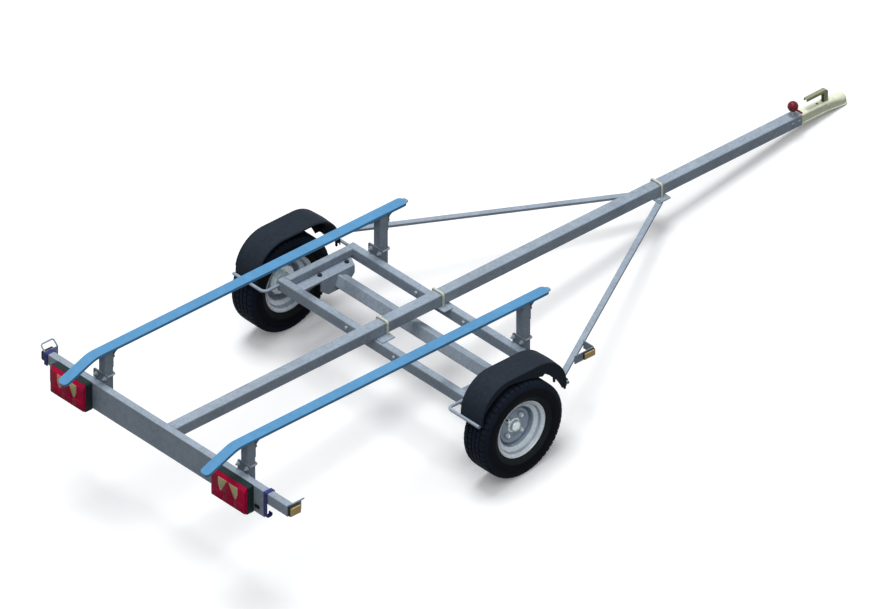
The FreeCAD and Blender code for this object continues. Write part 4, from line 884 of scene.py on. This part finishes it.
# ---------------------------------------------------------------- welds
def make_welds():
    """Beads where tubes meet, in the corners that stay open to view."""
    beads = bmesh.new()
    for x in (REAR_CROSS_X, FRONT_CROSS_X):
        face = x + (HALF_TUBE if x < 0 else -HALF_TUBE)
        for sign in (-1, 1):
            for y in (sign * HALF_CROSS, sign * (HALF_CROSS - 2 * HALF_TUBE)):
                add_bead(beads, (face, y, PLATE_TOP + 2), (face, y, CROSS_TOP - 3), 2.6)
            inner, outer = sign * (HALF_CROSS - 38), sign * (HALF_CROSS - 2)
            add_bead(beads, (face, inner, CROSS_TOP), (face, outer, CROSS_TOP), 2.2)
    for sign in (-1, 1):
        # round the drawbar's rear end
        y = sign * HALF_DRAWBAR
        add_bead(beads, (BEAM_FRONT, y, DRAWBAR_BASE + 5), (BEAM_FRONT, y, DRAWBAR_TOP - 5), 3.0)
        add_bead(beads, (BEAM_FRONT, sign * 25, DRAWBAR_TOP - 1), (BEAM_FRONT, 0, DRAWBAR_TOP - 1), 2.4)
        add_bead(beads, (BEAM_FRONT, sign * 25, DRAWBAR_BASE), (BEAM_FRONT, 0, DRAWBAR_BASE), 2.8)
        # along the posts' lugs, on both sides of each post
        for face, top in POSTS:
            middle, edge = sign * (POST_Y + LUG_OFFSET), top - 0.5
            for near, far in ((-LUG_HALF_WIDTH + 1, -25), (25, LUG_HALF_WIDTH - 1)):
                add_bead(beads, (face + 1, middle + near, edge), (face + 1, middle + far, edge), 2.4)
            for y in (middle - LUG_HALF_WIDTH, middle + LUG_HALF_WIDTH):
                add_bead(beads, (face, y, top - 38), (face, y, top - 6), 2.8)
        # round the plates that close the rear beam
        y = sign * HALF_BEAM
        add_bead(beads, (BEAM_FRONT, y, DRAWBAR_BASE + 8), (BEAM_FRONT, y, DRAWBAR_TOP - 7), 2.4)
        add_bead(beads, (BEAM_BACK + 4, y, DRAWBAR_TOP - 2), (BEAM_FRONT - 4, y, DRAWBAR_TOP - 2), 2.2)
    finish_piece("weld_beads", beads, "galvanised", smooth=60)


# ---------------------------------------------------------------- studio
FLOOR_SIDE = 60.0
# the floor's white and its own glow as the camera, gloss and glass see it, and its tone as the
# light sees it
FLOOR_WHITE, FLOOR_LIFT = 0.92, 0.14
FLOOR_BOUNCE = 0.07
SKY_TINT = (0.96, 1.0, 1.06)
HORIZON, OVERHEAD = 0.05, 0.55
SEEN_BY = ["Is Camera Ray", "Is Glossy Ray", "Is Transmission Ray"]
SUNS = [
    # name, azimuth, elevation, strength, width of the light: in degrees
    ("key", 50, 80, 1.85, 28),
    ("fill", -120, 58, 0.7, 40),
]
# in the level trailer's frame: degrees, metres from the wheel axis, and millimetres for the lens
CAMERA_AZIMUTH, CAMERA_ELEVATION = -41.86, 34.02
CAMERA_TARGET = (0.2876, 0, 0.1281)
CAMERA_DISTANCE, CAMERA_LENS, SENSOR_WIDTH = 124.167, 1100, 36


def ray_switch(tree):
    """One output that is 1 for the rays that see white surroundings, and 0 for the others."""
    path = tree.nodes.new("ShaderNodeLightPath")
    output = path.outputs[SEEN_BY[0]]
    for name in SEEN_BY[1:]:
        higher = tree.nodes.new("ShaderNodeMath")
        higher.operation = "MAXIMUM"
        tree.links.new(output, higher.inputs[0])
        tree.links.new(path.outputs[name], higher.inputs[1])
        output = higher.outputs[0]
    return output


def make_floor():
    """White with the object's shadow where it is seen, and dark as a source of light."""
    mesh = bpy.data.meshes.new("floor")
    half = FLOOR_SIDE / 2
    corners = [(-half, -half, 0), (half, -half, 0), (half, half, 0), (-half, half, 0)]
    mesh.from_pydata(corners, [], [(0, 1, 2, 3)])
    floor = bpy.data.objects.new("floor", mesh)
    bpy.context.scene.collection.objects.link(floor)
    material = bpy.data.materials.new("floor")
    material.use_nodes = True
    tree = material.node_tree
    tree.nodes.clear()
    seen = tree.nodes.new("ShaderNodeBsdfDiffuse")
    seen.inputs["Color"].default_value = (FLOOR_WHITE, FLOOR_WHITE, FLOOR_WHITE, 1)
    lift = tree.nodes.new("ShaderNodeEmission")
    lift.inputs["Strength"].default_value = FLOOR_LIFT
    both = tree.nodes.new("ShaderNodeAddShader")
    dim = tree.nodes.new("ShaderNodeBsdfDiffuse")
    dim.inputs["Color"].default_value = (FLOOR_BOUNCE, FLOOR_BOUNCE, FLOOR_BOUNCE, 1)
    mix = tree.nodes.new("ShaderNodeMixShader")
    out = tree.nodes.new("ShaderNodeOutputMaterial")
    tree.links.new(seen.outputs[0], both.inputs[0])
    tree.links.new(lift.outputs[0], both.inputs[1])
    tree.links.new(ray_switch(tree), mix.inputs["Fac"])
    tree.links.new(dim.outputs[0], mix.inputs[1])
    tree.links.new(both.outputs[0], mix.inputs[2])
    tree.links.new(mix.outputs[0], out.inputs["Surface"])
    mesh.materials.append(material)


def make_world():
    """White for the camera, gloss and glass; for the light, a dim horizon under a soft sky."""
    world = bpy.data.worlds.new("studio")
    bpy.context.scene.world = world
    world.use_nodes = True
    tree = world.node_tree
    coords = tree.nodes.new("ShaderNodeTexCoord")
    split = tree.nodes.new("ShaderNodeSeparateXYZ")
    tree.links.new(coords.outputs["Generated"], split.inputs["Vector"])
    low, high = (shade(SKY_TINT, level) for level in (HORIZON, OVERHEAD))
    sky = ramp(tree, split.outputs["Z"], [(0.0, low), (0.25, low), (0.95, high)])
    mix = tree.nodes.new("ShaderNodeMix")
    mix.data_type = "RGBA"
    mix.inputs[7].default_value = (1, 1, 1, 1)
    tree.links.new(ray_switch(tree), mix.inputs[0])
    tree.links.new(sky, mix.inputs[6])
    background = tree.nodes["Background"]
    tree.links.new(mix.outputs[2], background.inputs["Color"])
    background.inputs["Strength"].default_value = 1.0


def make_sun(name, azimuth, elevation, strength, width):
    light = bpy.data.lights.new(name, "SUN")
    light.energy = strength
    light.angle = math.radians(width)
    lamp = bpy.data.objects.new(name, light)
    bpy.context.scene.collection.objects.link(lamp)
    a, e = math.radians(azimuth), math.radians(elevation)
    towards = Vector((math.cos(a) * math.cos(e), math.sin(a) * math.cos(e), math.sin(e)))
    lamp.rotation_euler = towards.to_track_quat("Z", "Y").to_euler()


def make_camera():
    """A very long lens, so that the view is all but without perspective."""
    a, e = math.radians(CAMERA_AZIMUTH), math.radians(CAMERA_ELEVATION)
    back = Vector((math.sin(a) * math.cos(e), -math.cos(a) * math.cos(e), math.sin(e)))
    right = Vector((math.cos(a), math.sin(a), 0))
    up = back.cross(right)
    turn = PARKED.to_3x3()
    place = Matrix((turn @ right, turn @ up, turn @ back)).transposed().to_4x4()
    place.translation = PARKED @ Vector(CAMERA_TARGET) + turn @ back * CAMERA_DISTANCE
    data = bpy.data.cameras.new("camera")
    data.sensor_width = SENSOR_WIDTH
    data.lens = CAMERA_LENS
    data.clip_start, data.clip_end = 10, 400
    camera = bpy.data.objects.new("camera", data)
    camera.matrix_world = place
    bpy.context.scene.collection.objects.link(camera)
    bpy.context.scene.camera = camera


for side, sign in SIDES:
    make_tyre(side, sign)
    make_wheel_fixings(side, sign)
make_plate_bolts()
make_frame_bolts()
make_ubolt_ends()
make_bunk_bolts()
make_bunk_cores()
make_guard_clamps()
make_guard_skirts()
make_lenses()
make_lamp_windows()
make_board_details()
make_welds()
make_floor()
make_world()
for sun in SUNS:
    make_sun(*sun)
make_camera()
bpy.context.scene.view_settings.view_transform = "Standard"
